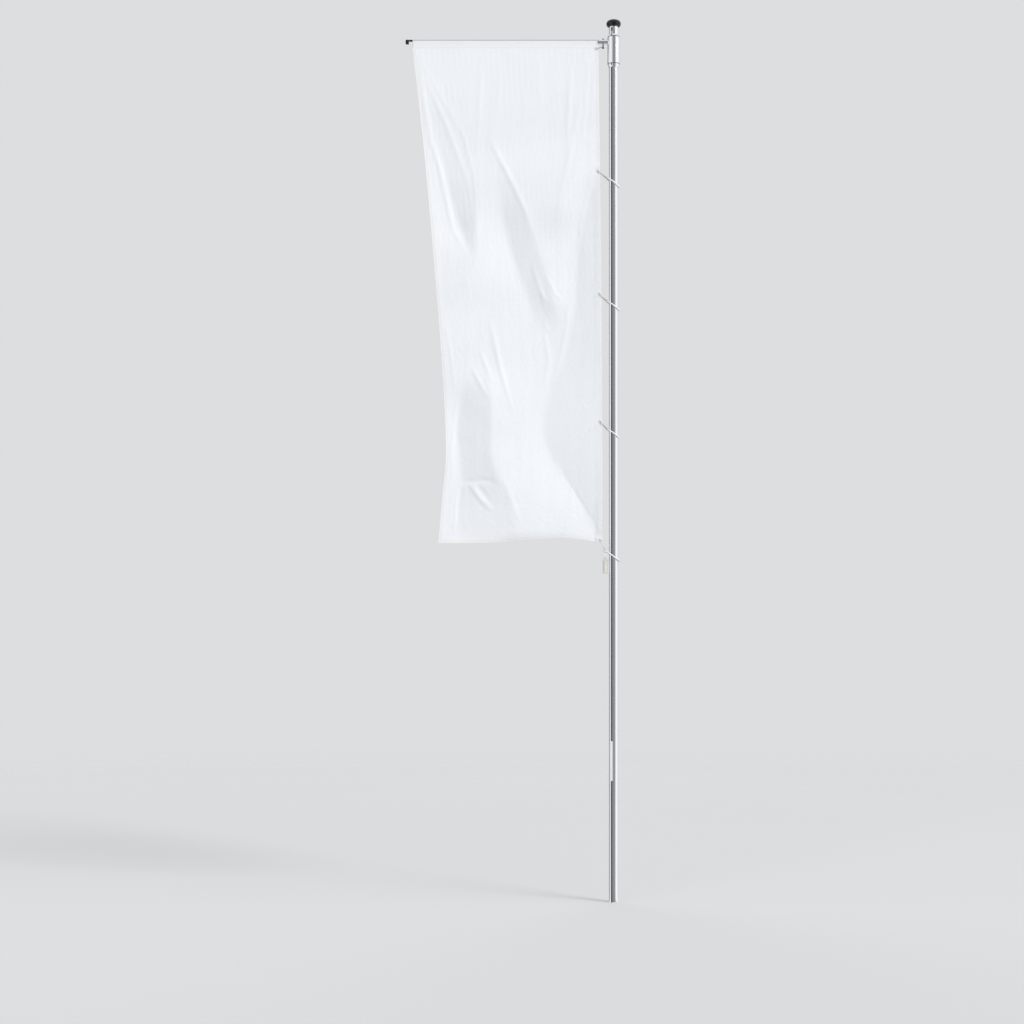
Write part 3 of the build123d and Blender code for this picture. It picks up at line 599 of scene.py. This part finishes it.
# %% Lines of the fine creases, as (places on the banner, half width, height towards the camera)
fine_creases = [
    ([(-1.52, 6.61), (-1.35, 6.25), (-1.17, 5.77), (-1.12, 5.58)], 0.02, 0.006),
    ([(-1.44, 6.07), (-1.37, 5.77), (-1.28, 5.37), (-1.14, 5.13)], 0.018, 0.007),
    ([(-1.06, 6.67), (-1.09, 6.07)], 0.015, 0.004),
    ([(-0.99, 6.1), (-0.85, 5.83), (-0.73, 5.58), (-0.62, 5.28)], 0.02, 0.008),
    ([(-0.15, 6.7), (-0.19, 6.13)], 0.012, 0.003),
    ([(-0.2, 6.73), (-0.25, 6.07)], 0.012, 0.004),
    ([(-0.34, 6.67), (-0.38, 5.92)], 0.015, 0.005),
    ([(-0.99, 4.65), (-0.9, 4.25), (-0.79, 3.86)], 0.018, 0.007),
    ([(-1.06, 4.4), (-0.97, 4.15)], 0.015, 0.006),
    ([(-1.13, 4.27), (-1.0, 4.02)], 0.015, 0.006),
    ([(-0.59, 4.89), (-0.5, 4.77)], 0.012, 0.005),
    ([(-0.54, 5.01), (-0.46, 4.86), (-0.38, 4.8)], 0.012, 0.005),
    ([(-0.56, 4.65), (-0.51, 4.54)], 0.012, 0.004),
    ([(-1.21, 3.36), (-1.06, 3.38), (-0.9, 3.34)], 0.018, -0.006),
    ([(-1.14, 3.33), (-1.06, 3.22), (-0.96, 3.12)], 0.015, 0.009),
    ([(-1.09, 3.34), (-0.98, 3.19)], 0.012, -0.005),
    ([(-0.4, 3.4), (-0.25, 3.16), (-0.13, 2.99)], 0.014, -0.005),
    ([(-1.55, 6.7), (-1.49, 6.22), (-1.41, 5.61)], 0.012, 0.003),
    ([(-1.57, 6.78), (-1.3, 6.3), (-1.12, 6.0)], 0.02, 0.004),
    ([(-1.53, 6.5), (-1.45, 6.05), (-1.3, 5.6)], 0.014, 0.004),
    ([(-1.22, 6.2), (-1.14, 5.9), (-1.09, 5.6)], 0.012, 0.004),
    ([(-0.9, 6.72), (-0.93, 6.3)], 0.02, 0.003),
    ([(-0.6, 6.75), (-0.58, 6.2)], 0.025, 0.0025),
    ([(-0.27, 6.4), (-0.4, 5.75), (-0.47, 5.5)], 0.022, 0.005),
    ([(-0.15, 5.9), (-0.25, 5.5), (-0.31, 5.1)], 0.016, 0.004),
    ([(-0.65, 5.1), (-0.57, 4.85), (-0.53, 4.7)], 0.014, 0.005),
    ([(-0.36, 4.75), (-0.4, 4.45), (-0.5, 4.1)], 0.018, 0.006),
    ([(-0.56, 4.6), (-0.52, 4.35), (-0.55, 4.05)], 0.016, 0.005),
    ([(-1.34, 4.6), (-1.29, 4.3), (-1.27, 4.1)], 0.014, 0.004),
    ([(-1.26, 4.0), (-1.3, 3.6), (-1.28, 3.35)], 0.012, 0.004),
    ([(-0.87, 3.35), (-0.78, 3.1), (-0.72, 2.92)], 0.02, 0.004),
    ([(-1.22, 3.3), (-1.24, 3.1), (-1.25, 2.92)], 0.014, -0.007),
]
free_edge_depth = [(0, 0), (0.9, -0.004), (1.5, -0.016), (2.0, -0.03), (2.6, -0.012), (3.1, -0.008),
                   (3.965, 0)]
side_margin, foot_margin, fade_in, fade_out = 0.02, 0.1, 0.4, 0.3
# The unevenness of all cloth, as (height, waves across, waves down, where the noise is read).
unevenness = [(0.0022, 5, 1.3, 3.1), (0.0016, 16, 2.2, 7.7)]
crease_start, crease_growth = 0.12, 0.9


def crease(points, x, z):
    """How far a place is from a crease's line, and how far along that line, from 0 to 1."""
    here = Vector((x, z))
    ends = [Vector(p) for p in points]
    total = sum((b - a).length for a, b in zip(ends, ends[1:]))
    nearest, share, gone = 9, 0, 0
    for a, b in zip(ends, ends[1:]):
        step = b - a
        t = min(1, max(0, (here - a).dot(step) / step.length_squared))
        away = (here - a - step * t).length
        if away < nearest:
            nearest, share = away, (gone + t * step.length) / total
        gone += step.length
    return nearest, share


def along_line(line, x):
    """The height of a straight-run line through points (place, height)."""
    for (x0, y0), (x1, y1) in zip(line, line[1:]):
        if x <= x1:
            return y0 + (y1 - y0) * (x - x0) / max(1e-6, x1 - x0)
    return line[-1][1]


def broad_depths(z, near, far):
    """The crests and hollows that one row crosses, as (distance from the mast's axis, depth)."""
    crossed = []
    for fold in broad_folds:
        top, low = fold[0][0], fold[-1][0]
        place = -along_curve([(-height, x) for height, x, _ in fold], -z)
        if low < z < top and near + side_margin < place < far - side_margin:
            depth = along_curve([(-height, d) for height, _, d in fold], -z)
            ends = low > cloth_top - cloth_length + foot_margin
            grown = min(1, (top - z) / fade_in, (z - low) / fade_out if ends else 1)
            crossed.append((grown * grown * (3 - 2 * grown), place, depth))
    row = [(near, 0.0), (far, along_curve(free_edge_depth, cloth_top - z))]
    for grown, place, depth in sorted(crossed, reverse=True):
        spanned = along_line(row, place)
        row = sorted(row + [(place, spanned + (depth - spanned) * grown)])
    return row


def fine_depth(x, z):
    """The fine creases and the noise at one place."""
    y = sum(height * noise.noise((x * across, z * down, at)) for height, across, down, at in unevenness)
    for points, half_width, height in fine_creases:
        away, share = crease(points, x, z)
        if away < 3 * half_width:
            grown = math.sin(math.pi * min(1, crease_start + share * crease_growth))
            y -= height * math.exp(-(away / half_width) ** 2) * grown
    return y


print(len(broad_folds), "broad folds and", len(fine_creases), "fine creases drawn")

# %% [markdown]
# ## Laying the cloth in its folds
# The sheet starts as a flat grid. Row by row it is laid in the folds, whose corners are rounded by
# averaging each place with its neighbours. A second shape key, "cut", keeps the flat sheet that the
# springs of the simulation remember: each row as long as it lies, and a little more, so that it wrinkles.
# A knit that its own weight pulls long draws in, which is why those rows are shorter than the cut.

# %% Lay the cloth
cloth_columns, cloth_rows = 66, 176
row_samples = 300
fold_softness, fold_stretch = 0.018, 2.5
free_below_tunnel, free_beside_mast = 0.15, 0.05
spare_length = 1.01
mast_side_hold, free_side_hold, inner_hold = 0.8, 0.3, 0.35
eyelet_boxes = [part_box(f"eyelet_{number}") for number in range(1, 6)]
eyelet_centres = [(Vector(low) + Vector(high)) / 2 for low, high in eyelet_boxes]
eyelet_hold = 0.028


def averaged(values, softness):
    """Each value averaged with its neighbours, by a bell curve as wide as the softness."""
    reach = math.ceil(2 * softness)
    steps = range(-reach, reach + 1)
    kernel = [math.exp(-(k / softness) ** 2) for k in steps]
    last = len(values) - 1
    return [sum(a * values[min(last, max(0, n + k))] for a, k in zip(kernel, steps)) / sum(kernel)
            for n in range(last + 1)]


depth_rows = []
for number in range(cloth_rows + 1):
    drop = cloth_length * number / cloth_rows
    near, far = side_edges(drop)
    spans = broad_depths(cloth_top - drop, near, far)
    places = [near + (far - near) * n / row_samples for n in range(row_samples + 1)]
    softness = fold_softness * row_samples / (far - near)
    depth_rows.append(averaged([along_line(spans, x) for x in places], softness))
softness = fold_softness * fold_stretch * cloth_rows / cloth_length
depth_columns = [averaged(column, softness) for column in zip(*depth_rows)]
depth_rows = list(zip(*depth_columns))


def laid_row(number):
    """Points (distance along the row, place) of one row of cloth that is laid in its folds."""
    drop = cloth_length * number / cloth_rows
    near, far = side_edges(drop)
    rise = min(1, drop / free_below_tunnel)
    gone, row = 0.0, []
    for n, broad in enumerate(depth_rows[number]):
        x = near + (far - near) * n / row_samples
        free = min(1, (x - near) / free_beside_mast)
        depth = (broad + fine_depth(-x, cloth_top - drop)) * rise * free
        place = Vector((-x, depth))
        if row:
            gone += (place - row[-1][1]).length
        row.append((gone, place))
    return row


def place_in_row(row, share):
    """The place at a share of the row's length."""
    wanted = share * row[-1][0]
    n = next((i for i in range(1, len(row)) if row[i][0] >= wanted), len(row) - 1)
    (gone0, a), (gone1, b) = row[n - 1], row[n]
    return a.lerp(b, (wanted - gone0) / (gone1 - gone0))


bm = bmesh.new()
bm.loops.layers.uv.new("UVMap")
bmesh.ops.create_grid(bm, x_segments=cloth_columns, y_segments=cloth_rows, size=0.5, calc_uvs=True)
cut = []
for vert in bm.verts:
    across, drop = 0.5 - vert.co.x, (0.5 - vert.co.y) * cloth_length
    vert.co = (-cloth_start - across * cloth_width, 0, cloth_top - drop)
    cut.append((across, drop, vert.co.copy()))
cloth = in_scene("cloth_at_rest", mesh_from("cloth_at_rest", bm))
laid_key = cloth.shape_key_add(name="laid")
cut_key = cloth.shape_key_add(name="cut")
held = cloth.vertex_groups.new(name="held")
rows = [laid_row(number) for number in range(cloth_rows + 1)]
for i, (across, drop, flat) in enumerate(cut):
    number = round(drop / cloth_length * cloth_rows)
    spot = place_in_row(rows[number], across)
    flat.x = -cloth_start - across * rows[number][-1][0] * spare_length
    z = flat.z + along_curve(lower_side, across) * (drop / cloth_length) ** 4
    at_eyelet = any(math.hypot(spot.x - c.x, z - c.z) < eyelet_hold for c in eyelet_centres)
    laid_key.data[i].co = (spot.x, 0 if at_eyelet else spot.y, z)
    if number == 0 or at_eyelet:
        hold = 1
    elif across < 0.5 / cloth_columns:
        hold = mast_side_hold
    elif across > 1 - 0.5 / cloth_columns:
        hold = free_side_hold
    else:
        hold = inner_hold
    held.add([i], hold, "REPLACE")
lengths = [row[-1][0] for row in rows]
print(len(rows), "rows of cloth,", round(min(lengths), 3), "to", round(max(lengths), 3), "m long")

# %% [markdown]
# ## Letting the cloth hang
# The laid shape is only a plan: its folds are too even. Blender's cloth simulation lets it hang. Its
# springs remember the flat cut, the tunnel and the eyelets hold it, and the edges and the inside are
# held loosely, so that the planned folds stay. Gravity does the rest. In 14 frames, about half a
# second, wrinkles form that no one would draw.

# %% Simulate the hanging
hang_frames = 14
knit_behaviour = {"quality": 6, "mass": 0.2, "air_damping": 2.0, "tension_stiffness": 40,
                  "compression_stiffness": 20, "shear_stiffness": 8, "bending_stiffness": 0.3,
                  "tension_damping": 15, "compression_damping": 15, "shear_damping": 10,
                  "bending_damping": 1}


def current_mesh(obj):
    """The object's mesh as its keys and modifiers make it now."""
    return bpy.data.meshes.new_from_object(obj.evaluated_get(bpy.context.evaluated_depsgraph_get()))


def hang(cloth, frames):
    """Runs the cloth simulation and returns its result as a mesh."""
    sim = cloth.modifiers.new("hanging", "CLOTH")
    for label, value in knit_behaviour.items():
        setattr(sim.settings, label, value)
    sim.settings.vertex_group_mass = "held"
    sim.settings.rest_shape_key = cut_key
    sim.collision_settings.use_collision = False
    sim.point_cache.frame_start = 1
    sim.point_cache.frame_end = frames
    for number in range(1, frames + 1):
        scene.frame_set(number)
    result = current_mesh(cloth)
    scene.frame_set(1)
    return result


for i, (_, _, place) in enumerate(cut):
    cut_key.data[i].co = place
hung_mesh = hang(cloth, hang_frames)
bpy.data.objects.remove(cloth)
depths = [v.co.y for v in hung_mesh.vertices]
print("cloth hangs", round(1000 * min(depths)), "to", round(1000 * max(depths)), "mm from its plane, area",
      round(sum(p.area for p in hung_mesh.polygons), 3), "of", round(cloth_width * cloth_length, 3), "m2")

# %% [markdown]
# ## From a simulated sheet to a banner
# The simulated mesh has squares of 22 mm. Cutting every edge once, with smoothing, rounds the wrinkles,
# and Solidify gives the sheet its thickness. The hems are the cloth's own border, taken again as a
# thicker band, so they follow every wrinkle. Last, the eyelet holes are cut right through. The corners
# of hems and holes stay sharp, or smooth shading would draw a dark line beside them.

# %% Helpers that finish a piece
hole_radius, hole_depth, hole_corners = 0.0076, 0.02, 24
sharp_corner = math.radians(50)


def finish_piece(name, mesh, body, finish, *replaced, slot=None):
    """A visible piece on its body, with its material and the solid pieces that it stands for."""
    obj = in_scene(name, mesh)
    mesh.materials.clear()
    mesh.materials.append(materials[finish])
    for face in mesh.polygons:
        face.use_smooth = True
    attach(obj, body)
    if replaced:
        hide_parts(*replaced)
    print(name, "has", len(mesh.polygons), "faces")
    return obj


def baked(obj):
    """The object's mesh with its modifiers applied. The object itself is removed."""
    bpy.context.view_layer.update()
    mesh = current_mesh(obj)
    bpy.data.objects.remove(obj)
    return mesh


def walled(name, mesh, thickness, offset):
    """A sheet with a thickness: offset 0 puts half of it on each side, and 1 all of it outside."""
    obj = in_scene(name, mesh)
    wall = obj.modifiers.new("thickness", "SOLIDIFY")
    wall.thickness, wall.offset = thickness, offset
    return obj


def pierced(mesh, thickness):
    """The mesh of a sheet with a thickness and with holes at the eyelets."""
    sheet = walled("pierced", mesh, thickness, 0)
    holes = bmesh.new()
    for centre in eyelet_centres:
        place = Matrix.Translation((centre.x, 0, centre.z)) @ Matrix.Rotation(math.pi / 2, 4, "X")
        bmesh.ops.create_cone(holes, cap_ends=True, segments=hole_corners, radius1=hole_radius,
                              radius2=hole_radius, depth=hole_depth, matrix=place)
    cutter = in_scene("eyelet_holes", mesh_from("eyelet_holes", holes))
    pierce = sheet.modifiers.new("holes", "BOOLEAN")
    pierce.object, pierce.operation, pierce.solver = cutter, "DIFFERENCE", "EXACT"
    result = baked(sheet)
    result.set_sharp_from_angle(angle=sharp_corner)
    bpy.data.objects.remove(cutter)
    return result


# %% Banner and hems
cloth_thickness, hem_thickness, hem_width = 0.0009, 0.0018, 0.024
hem_columns, hem_rows = hem_width / cloth_width, hem_width / cloth_length

bm = bmesh.new()
bm.from_mesh(hung_mesh)
bmesh.ops.subdivide_edges(bm, edges=bm.edges[:], cuts=1, use_grid_fill=True, smooth=1.0)
bmesh.ops.recalc_face_normals(bm, faces=bm.faces[:])
uv = bm.loops.layers.uv.active
fine_mesh = bpy.data.meshes.new("hung_cloth")
bm.to_mesh(fine_mesh)
plain_cloth = fine_mesh.copy()
inner = []
for face in bm.faces:
    u, v = sum((loop[uv].uv for loop in face.loops), Vector((0, 0))) / len(face.loops)
    if hem_columns < u < 1 - hem_columns and v > hem_rows:
        inner.append(face)
bmesh.ops.delete(bm, geom=inner, context="FACES")
hem_mesh = mesh_from("hem", bm)
banner = finish_piece("banner", pierced(fine_mesh, cloth_thickness), "head", "banner_fabric", "banner_cloth")
hem = finish_piece("banner_hem", pierced(hem_mesh, hem_thickness), "head", "hem_fabric",
                   slot="banner_fabric")

# %% [markdown]
# ## The tunnel
# The banner's top edge is sewn into a tunnel that slides on the arm's rod. Its cross-section is a drop:
# round over the rod, and pinched flat at the seam. A circle of points is pulled into that drop, and
# spin, with no angle and a step along X, draws it out along the rod. Noise gives it the slight slack
# of cloth on a rod, more at its sides than on top, where it lies on the rod.

# %% Tunnel
tunnel_steps, drop_shape_points = 150, 36
tunnel_skin, half_girth, flank_bow = 0.0008, 0.03, 0.8
side_turn, pinch_turn, foot_turn, seam_turn = (math.radians(turn) for turn in (105, 157, 169, 175))
rod_clearance, seam_half_gap = 0.0005, 0.0007
seam_low, seam_high = cloth_top - 0.003, cloth_top + 0.008
slack_height, slack_fade, slack_waves, slack_shift = 0.0022, 0.03, (22, 60, 40), 0.6


def drop_profile(turn):
    """A point (y, z) of the tunnel's drop shape. Turn 0 is the top of the rod, half a turn its seam."""
    hug = rod_radius + rod_clearance
    turn = (turn + math.pi) % (2 * math.pi) - math.pi
    if abs(turn) <= side_turn:
        return hug * math.sin(turn), rod_z + hug * math.cos(turn)
    if abs(turn) > seam_turn:
        return 0, seam_low
    share = min(1, (abs(turn) - side_turn) / (pinch_turn - side_turn))
    start_y, start_z = hug * math.sin(side_turn), rod_z + hug * math.cos(side_turn)
    y = start_y + (seam_half_gap - start_y) * share ** flank_bow
    z = start_z + (seam_high - start_z) * share
    if abs(turn) > pinch_turn:
        z = seam_high + (seam_low - seam_high) * min(1, (abs(turn) - pinch_turn) / (foot_turn - pinch_turn))
    return math.copysign(y, turn), z


bm = bmesh.new()
uv = bm.loops.layers.uv.new("UVMap")
bmesh.ops.create_circle(bm, segments=drop_shape_points, radius=1)
for vert in bm.verts:
    y, z = drop_profile(math.atan2(vert.co.x, vert.co.y))
    vert.co = (-cloth_start, y, z)
bmesh.ops.spin(bm, geom=bm.edges[:], angle=0, steps=tunnel_steps, cent=(0, 0, 0), axis=(0, 0, 1),
               dvec=(-cloth_width / tunnel_steps, 0, 0), use_merge=False, use_duplicate=False)
bmesh.ops.recalc_face_normals(bm, faces=bm.faces[:])
for edge in bm.edges:
    a, b = (vert.co for vert in edge.verts)
    at_foot = abs(a.z - seam_low) < 1e-5 and abs(a.y) > 1e-5 and abs(a.y - b.y) < 1e-5
    edge.smooth = not (at_foot and abs(a.z - b.z) < 1e-5)
for face in bm.faces:
    for loop in face.loops:
        around = math.atan2(loop.vert.co.y, loop.vert.co.z - rod_z)
        loop[uv].uv = ((-loop.vert.co.x - cloth_start) / cloth_width,
                       half_girth * around / math.pi / cloth_length)
for vert in bm.verts:
    below = min(1, max(0, (rod_z + rod_radius * 0.5 - vert.co.z) / slack_fade))
    slack = noise.noise([c * waves for c, waves in zip(vert.co, slack_waves)]) + slack_shift
    vert.co += vert.normal * max(0, slack) * slack_height * below * math.sin(math.pi * below)
tunnel_mesh = baked(walled("tunnel", mesh_from("tunnel", bm), tunnel_skin, 1))
tunnel = finish_piece("banner_tunnel_sleeve", tunnel_mesh, "head", "tunnel_fabric", "banner_tunnel",
                      slot="banner_fabric")

# %% [markdown]
# ## The stitches
# The hems and the tunnel are sewn with a lock stitch: a row of short threads on each face, a few
# millimetres inside the fold. Thousands of them would be slow to place one by one. One small grain of
# thread is enough: an Array modifier repeats it along a line, and a Curve modifier bends the row to the
# line. The line is read from the hanging cloth, so the stitches follow every wrinkle.

# %% Lines on the cloth
stitch_inset, stitch_pitch, stitch_rise = 0.019, 0.0036, 0.001
side_points, foot_points, tunnel_points = 700, 260, 20
tunnel_ends, tunnel_seam_height, seam_clearance = 0.002, 0.003, 0.0001
grid_spots = {}
cloth_uv = plain_cloth.uv_layers.active.data
for loop in plain_cloth.loops:
    u, v = cloth_uv[loop.index].uv
    vert = plain_cloth.vertices[loop.vertex_index]
    grid_spots[round(u * 2 * cloth_columns), round(v * 2 * cloth_rows)] = (vert.co.copy(), vert.normal.copy())


def on_cloth(u, v, rise):
    """The place at one spot of the cut, raised off the hanging cloth."""
    column, row = u * 2 * cloth_columns, v * 2 * cloth_rows
    i, j = min(int(column), 2 * cloth_columns - 1), min(int(row), 2 * cloth_rows - 1)
    a, b = column - i, row - j
    corners = [(grid_spots[m, n], p * q)
               for n, q in ((j, 1 - b), (j + 1, b)) for m, p in ((i, 1 - a), (i + 1, a))]
    place, normal = (sum((spot[k] * share for spot, share in corners), Vector()) for k in (0, 1))
    return place + normal.normalized() * rise


inset_u, inset_v = stitch_inset / cloth_width, stitch_inset / cloth_length
seam_lines = []
for rise in (stitch_rise, -stitch_rise):
    for u in (inset_u, 1 - inset_u):
        seam_lines.append([on_cloth(u, inset_v + (1 - inset_v) * n / side_points, rise)
                           for n in range(side_points)])
    seam_lines.append([on_cloth(inset_u + (1 - 2 * inset_u) * n / foot_points, inset_v, rise)
                       for n in range(foot_points + 1)])
for side in (-1, 1):
    y = side * (seam_half_gap + tunnel_skin + seam_clearance)
    shares = [tunnel_ends + (1 - 2 * tunnel_ends) * n / tunnel_points for n in range(tunnel_points + 1)]
    seam_lines.append([Vector((-cloth_start - cloth_width * share, y, cloth_top + tunnel_seam_height))
                       for share in shares])
print(len(seam_lines), "rows of stitches to sew")

# %% Rows of stitches
stitch_size = (0.003, 0.0009, 0.0008)


def poly_line(name, places, dimensions="3D"):
    """A curve of straight runs through places, and its spline."""
    data = bpy.data.curves.new(name, "CURVE")
    data.dimensions = dimensions
    spline = data.splines.new("POLY")
    spline.points.add(len(places) - 1)
    for point, place in zip(spline.points, places):
        point.co = (*place, 1)
    return data, spline


def sewn_row(line):
    """A row of stitches bent to a line, as a mesh."""
    bm = bmesh.new()
    bmesh.ops.create_icosphere(bm, subdivisions=1, radius=0.5, matrix=Matrix.Diagonal((*stitch_size, 1)))
    row = in_scene("stitches", mesh_from("stitch", bm))
    seam = in_scene("seam", poly_line("seam", line)[0])
    repeat = row.modifiers.new("repeat", "ARRAY")
    repeat.fit_type, repeat.curve = "FIT_CURVE", seam
    repeat.use_relative_offset, repeat.use_constant_offset = False, True
    repeat.constant_offset_displace = (stitch_pitch, 0, 0)
    row.modifiers.new("follow", "CURVE").object = seam
    mesh = baked(row)
    bpy.data.objects.remove(seam)
    return mesh


bm = bmesh.new()
for line in seam_lines:
    bm.from_mesh(sewn_row(line))
stitches = finish_piece("banner_stitches", mesh_from("stitches", bm), "head", "hem_fabric",
                        slot="banner_fabric")
print(len(stitches.data.polygons) // 20, "stitches")

# %% [markdown]
# ## The strap cords
# Each strap is a braided cord in a long loop that lies aslant round the mast. Three strands wind round
# each other, so the cord's section is a three-lobed shape that turns as it goes along. A curve does
# both: it sweeps the lobed section along the loop, and the tilt of its points twists it. The twist over
# the whole loop is a whole number of turns, so the strands meet where the loop closes.

# %% Helpers for twisted cords
lobe_depth = 0.08


def lobed_section(radius, corners):
    """A closed curve with three lobes, to sweep along a cord."""
    places = []
    for turn in (2 * math.pi * i / corners for i in range(corners)):
        reach = radius * (1 - lobe_depth + lobe_depth * math.cos(3 * turn))
        places.append((reach * math.cos(turn), reach * math.sin(turn), 0))
    section, spline = poly_line("cord_section", places, "2D")
    spline.use_cyclic_u = True
    return in_scene("cord_section", section)


def loop_points(left, right, half_width, across, step):
    """Points of a loop between its two far points, half_width out on each side."""
    along = (right - left).normalized()
    a, b = left + along * half_width, right - along * half_width
    straight, arc = (b - a).length, math.pi * half_width
    total = 2 * (straight + arc)
    count = round(total / step)
    points = []
    for gone in (total * i / count for i in range(count)):
        start, end, forward, out = (a, b, along, -across) if gone < straight + arc else (b, a, -along, across)
        gone %= straight + arc
        if gone < straight:
            points.append(start + forward * gone + out * half_width)
        else:
            turn = (gone - straight) / half_width
            points.append(end + (forward * math.sin(turn) + out * math.cos(turn)) * half_width)
    return points, total


def twisted_cord(name, points, length, radius, pitch, corners=18, closed=True):
    """The mesh of a three-strand cord along a line of points, with one turn in about each pitch."""
    data, spline = poly_line(name, points)
    section = lobed_section(radius, corners)
    data.twist_mode, data.bevel_mode, data.bevel_object = "MINIMUM", "OBJECT", section
    data.use_fill_caps = not closed
    spline.use_cyclic_u = closed
    turns = round(length / pitch)
    for i, point in enumerate(spline.points):
        point.tilt = 2 * math.pi * turns * i / len(points)
    mesh = baked(in_scene(name + "_line", data))
    bpy.data.objects.remove(section)
    return mesh


# %% Strap cords
cord_radius, strand_pitch, cord_step = 0.0053, 0.024, 0.002
for name, node_name in [("strap_1", "strap_ring_1"), ("strap_2", "strap_ring_2"), ("strap_3", "strap_ring_3"),
                        ("lowest_strap", "bottom_strap_ring")]:
    low, high = (Vector(corner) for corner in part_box(node_name))
    left = Vector((low.x + cord_radius, 0, high.z - cord_radius))
    right = Vector((high.x - cord_radius, 0, low.z + cord_radius))
    half_width = (high.y - low.y) / 2 - cord_radius
    points, length = loop_points(left, right, half_width, Vector((0, 1, 0)), cord_step)
    mesh = twisted_cord(name, points, length, cord_radius, strand_pitch)
    finish_piece(name, mesh, "head", "strap_cord", node_name)
    print(name, "is", round(1000 * length), "mm round")

# %% [markdown]
# ## The halyard and the weight's cord
# The halyard is one endless rope over the top pulley and round the cleat behind the lock plate. It is
# seen in the pulley's window and deep in the slot. The weight hangs on a thinner cord whose end is bent
# into an eye. Both are made as the straps are, only with other radii, so they share the same helpers.

# %% Halyard
rope_radius, wheel_radius, rope_pitch, rope_corners, rope_step = 0.003, 0.014, 0.03, 12, 0.0025
joints = frame["record"]["behaviour"]["joints"]
pulley = next(joint for joint in joints if joint["name"] == "pulley_turn")
centre, turn_axis = Vector(pulley["pos_m"]), Vector(pulley["axis"])
low, high = (Vector(corner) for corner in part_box("halyard"))
points, length = loop_points(Vector((centre.x, centre.y, low.z + rope_radius)),
                             Vector((centre.x, centre.y, high.z - rope_radius)),
                             wheel_radius, Vector((0, 0, 1)).cross(turn_axis), rope_step)
mesh = twisted_cord("halyard_rope", points, length, rope_radius, rope_pitch, rope_corners)
finish_piece("halyard_rope", mesh, "mast", "halyard_rope", "halyard")
print("halyard is", round(length, 2), "m round")

# %% Weight's cord
weight_cord_radius, eye_radius, eye_wire = 0.0025, 0.0046, 0.0017
into_weight = 0.001
line_steps, eye_points = 24, 32
line_pitch, eye_pitch = 0.014, 0.0145

low, high = (Vector(corner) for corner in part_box("weight_cord"))
middle = Vector(((low.x + high.x) / 2, 0, high.z - eye_radius - eye_wire))
foot, throat = low.z - into_weight, middle.z - eye_radius
line = [Vector((middle.x, 0, foot + (throat - foot) * n / line_steps)) for n in range(line_steps + 1)]
bend = [middle + Vector((0, math.sin(turn), -math.cos(turn))) * eye_radius
        for turn in (2 * math.pi * n / eye_points for n in range(eye_points))]
bm = bmesh.new()
bm.from_mesh(twisted_cord("weight_line", line, throat - foot, weight_cord_radius, line_pitch, closed=False))
bm.from_mesh(twisted_cord("weight_eye", bend, 2 * math.pi * eye_radius, eye_wire, eye_pitch))
finish_piece("weight_cord_twist", mesh_from("weight_cord", bm), "weight", "strap_cord", "weight_cord")
print("weight's cord is", round(1000 * (throat - foot)), "mm long below its eye")
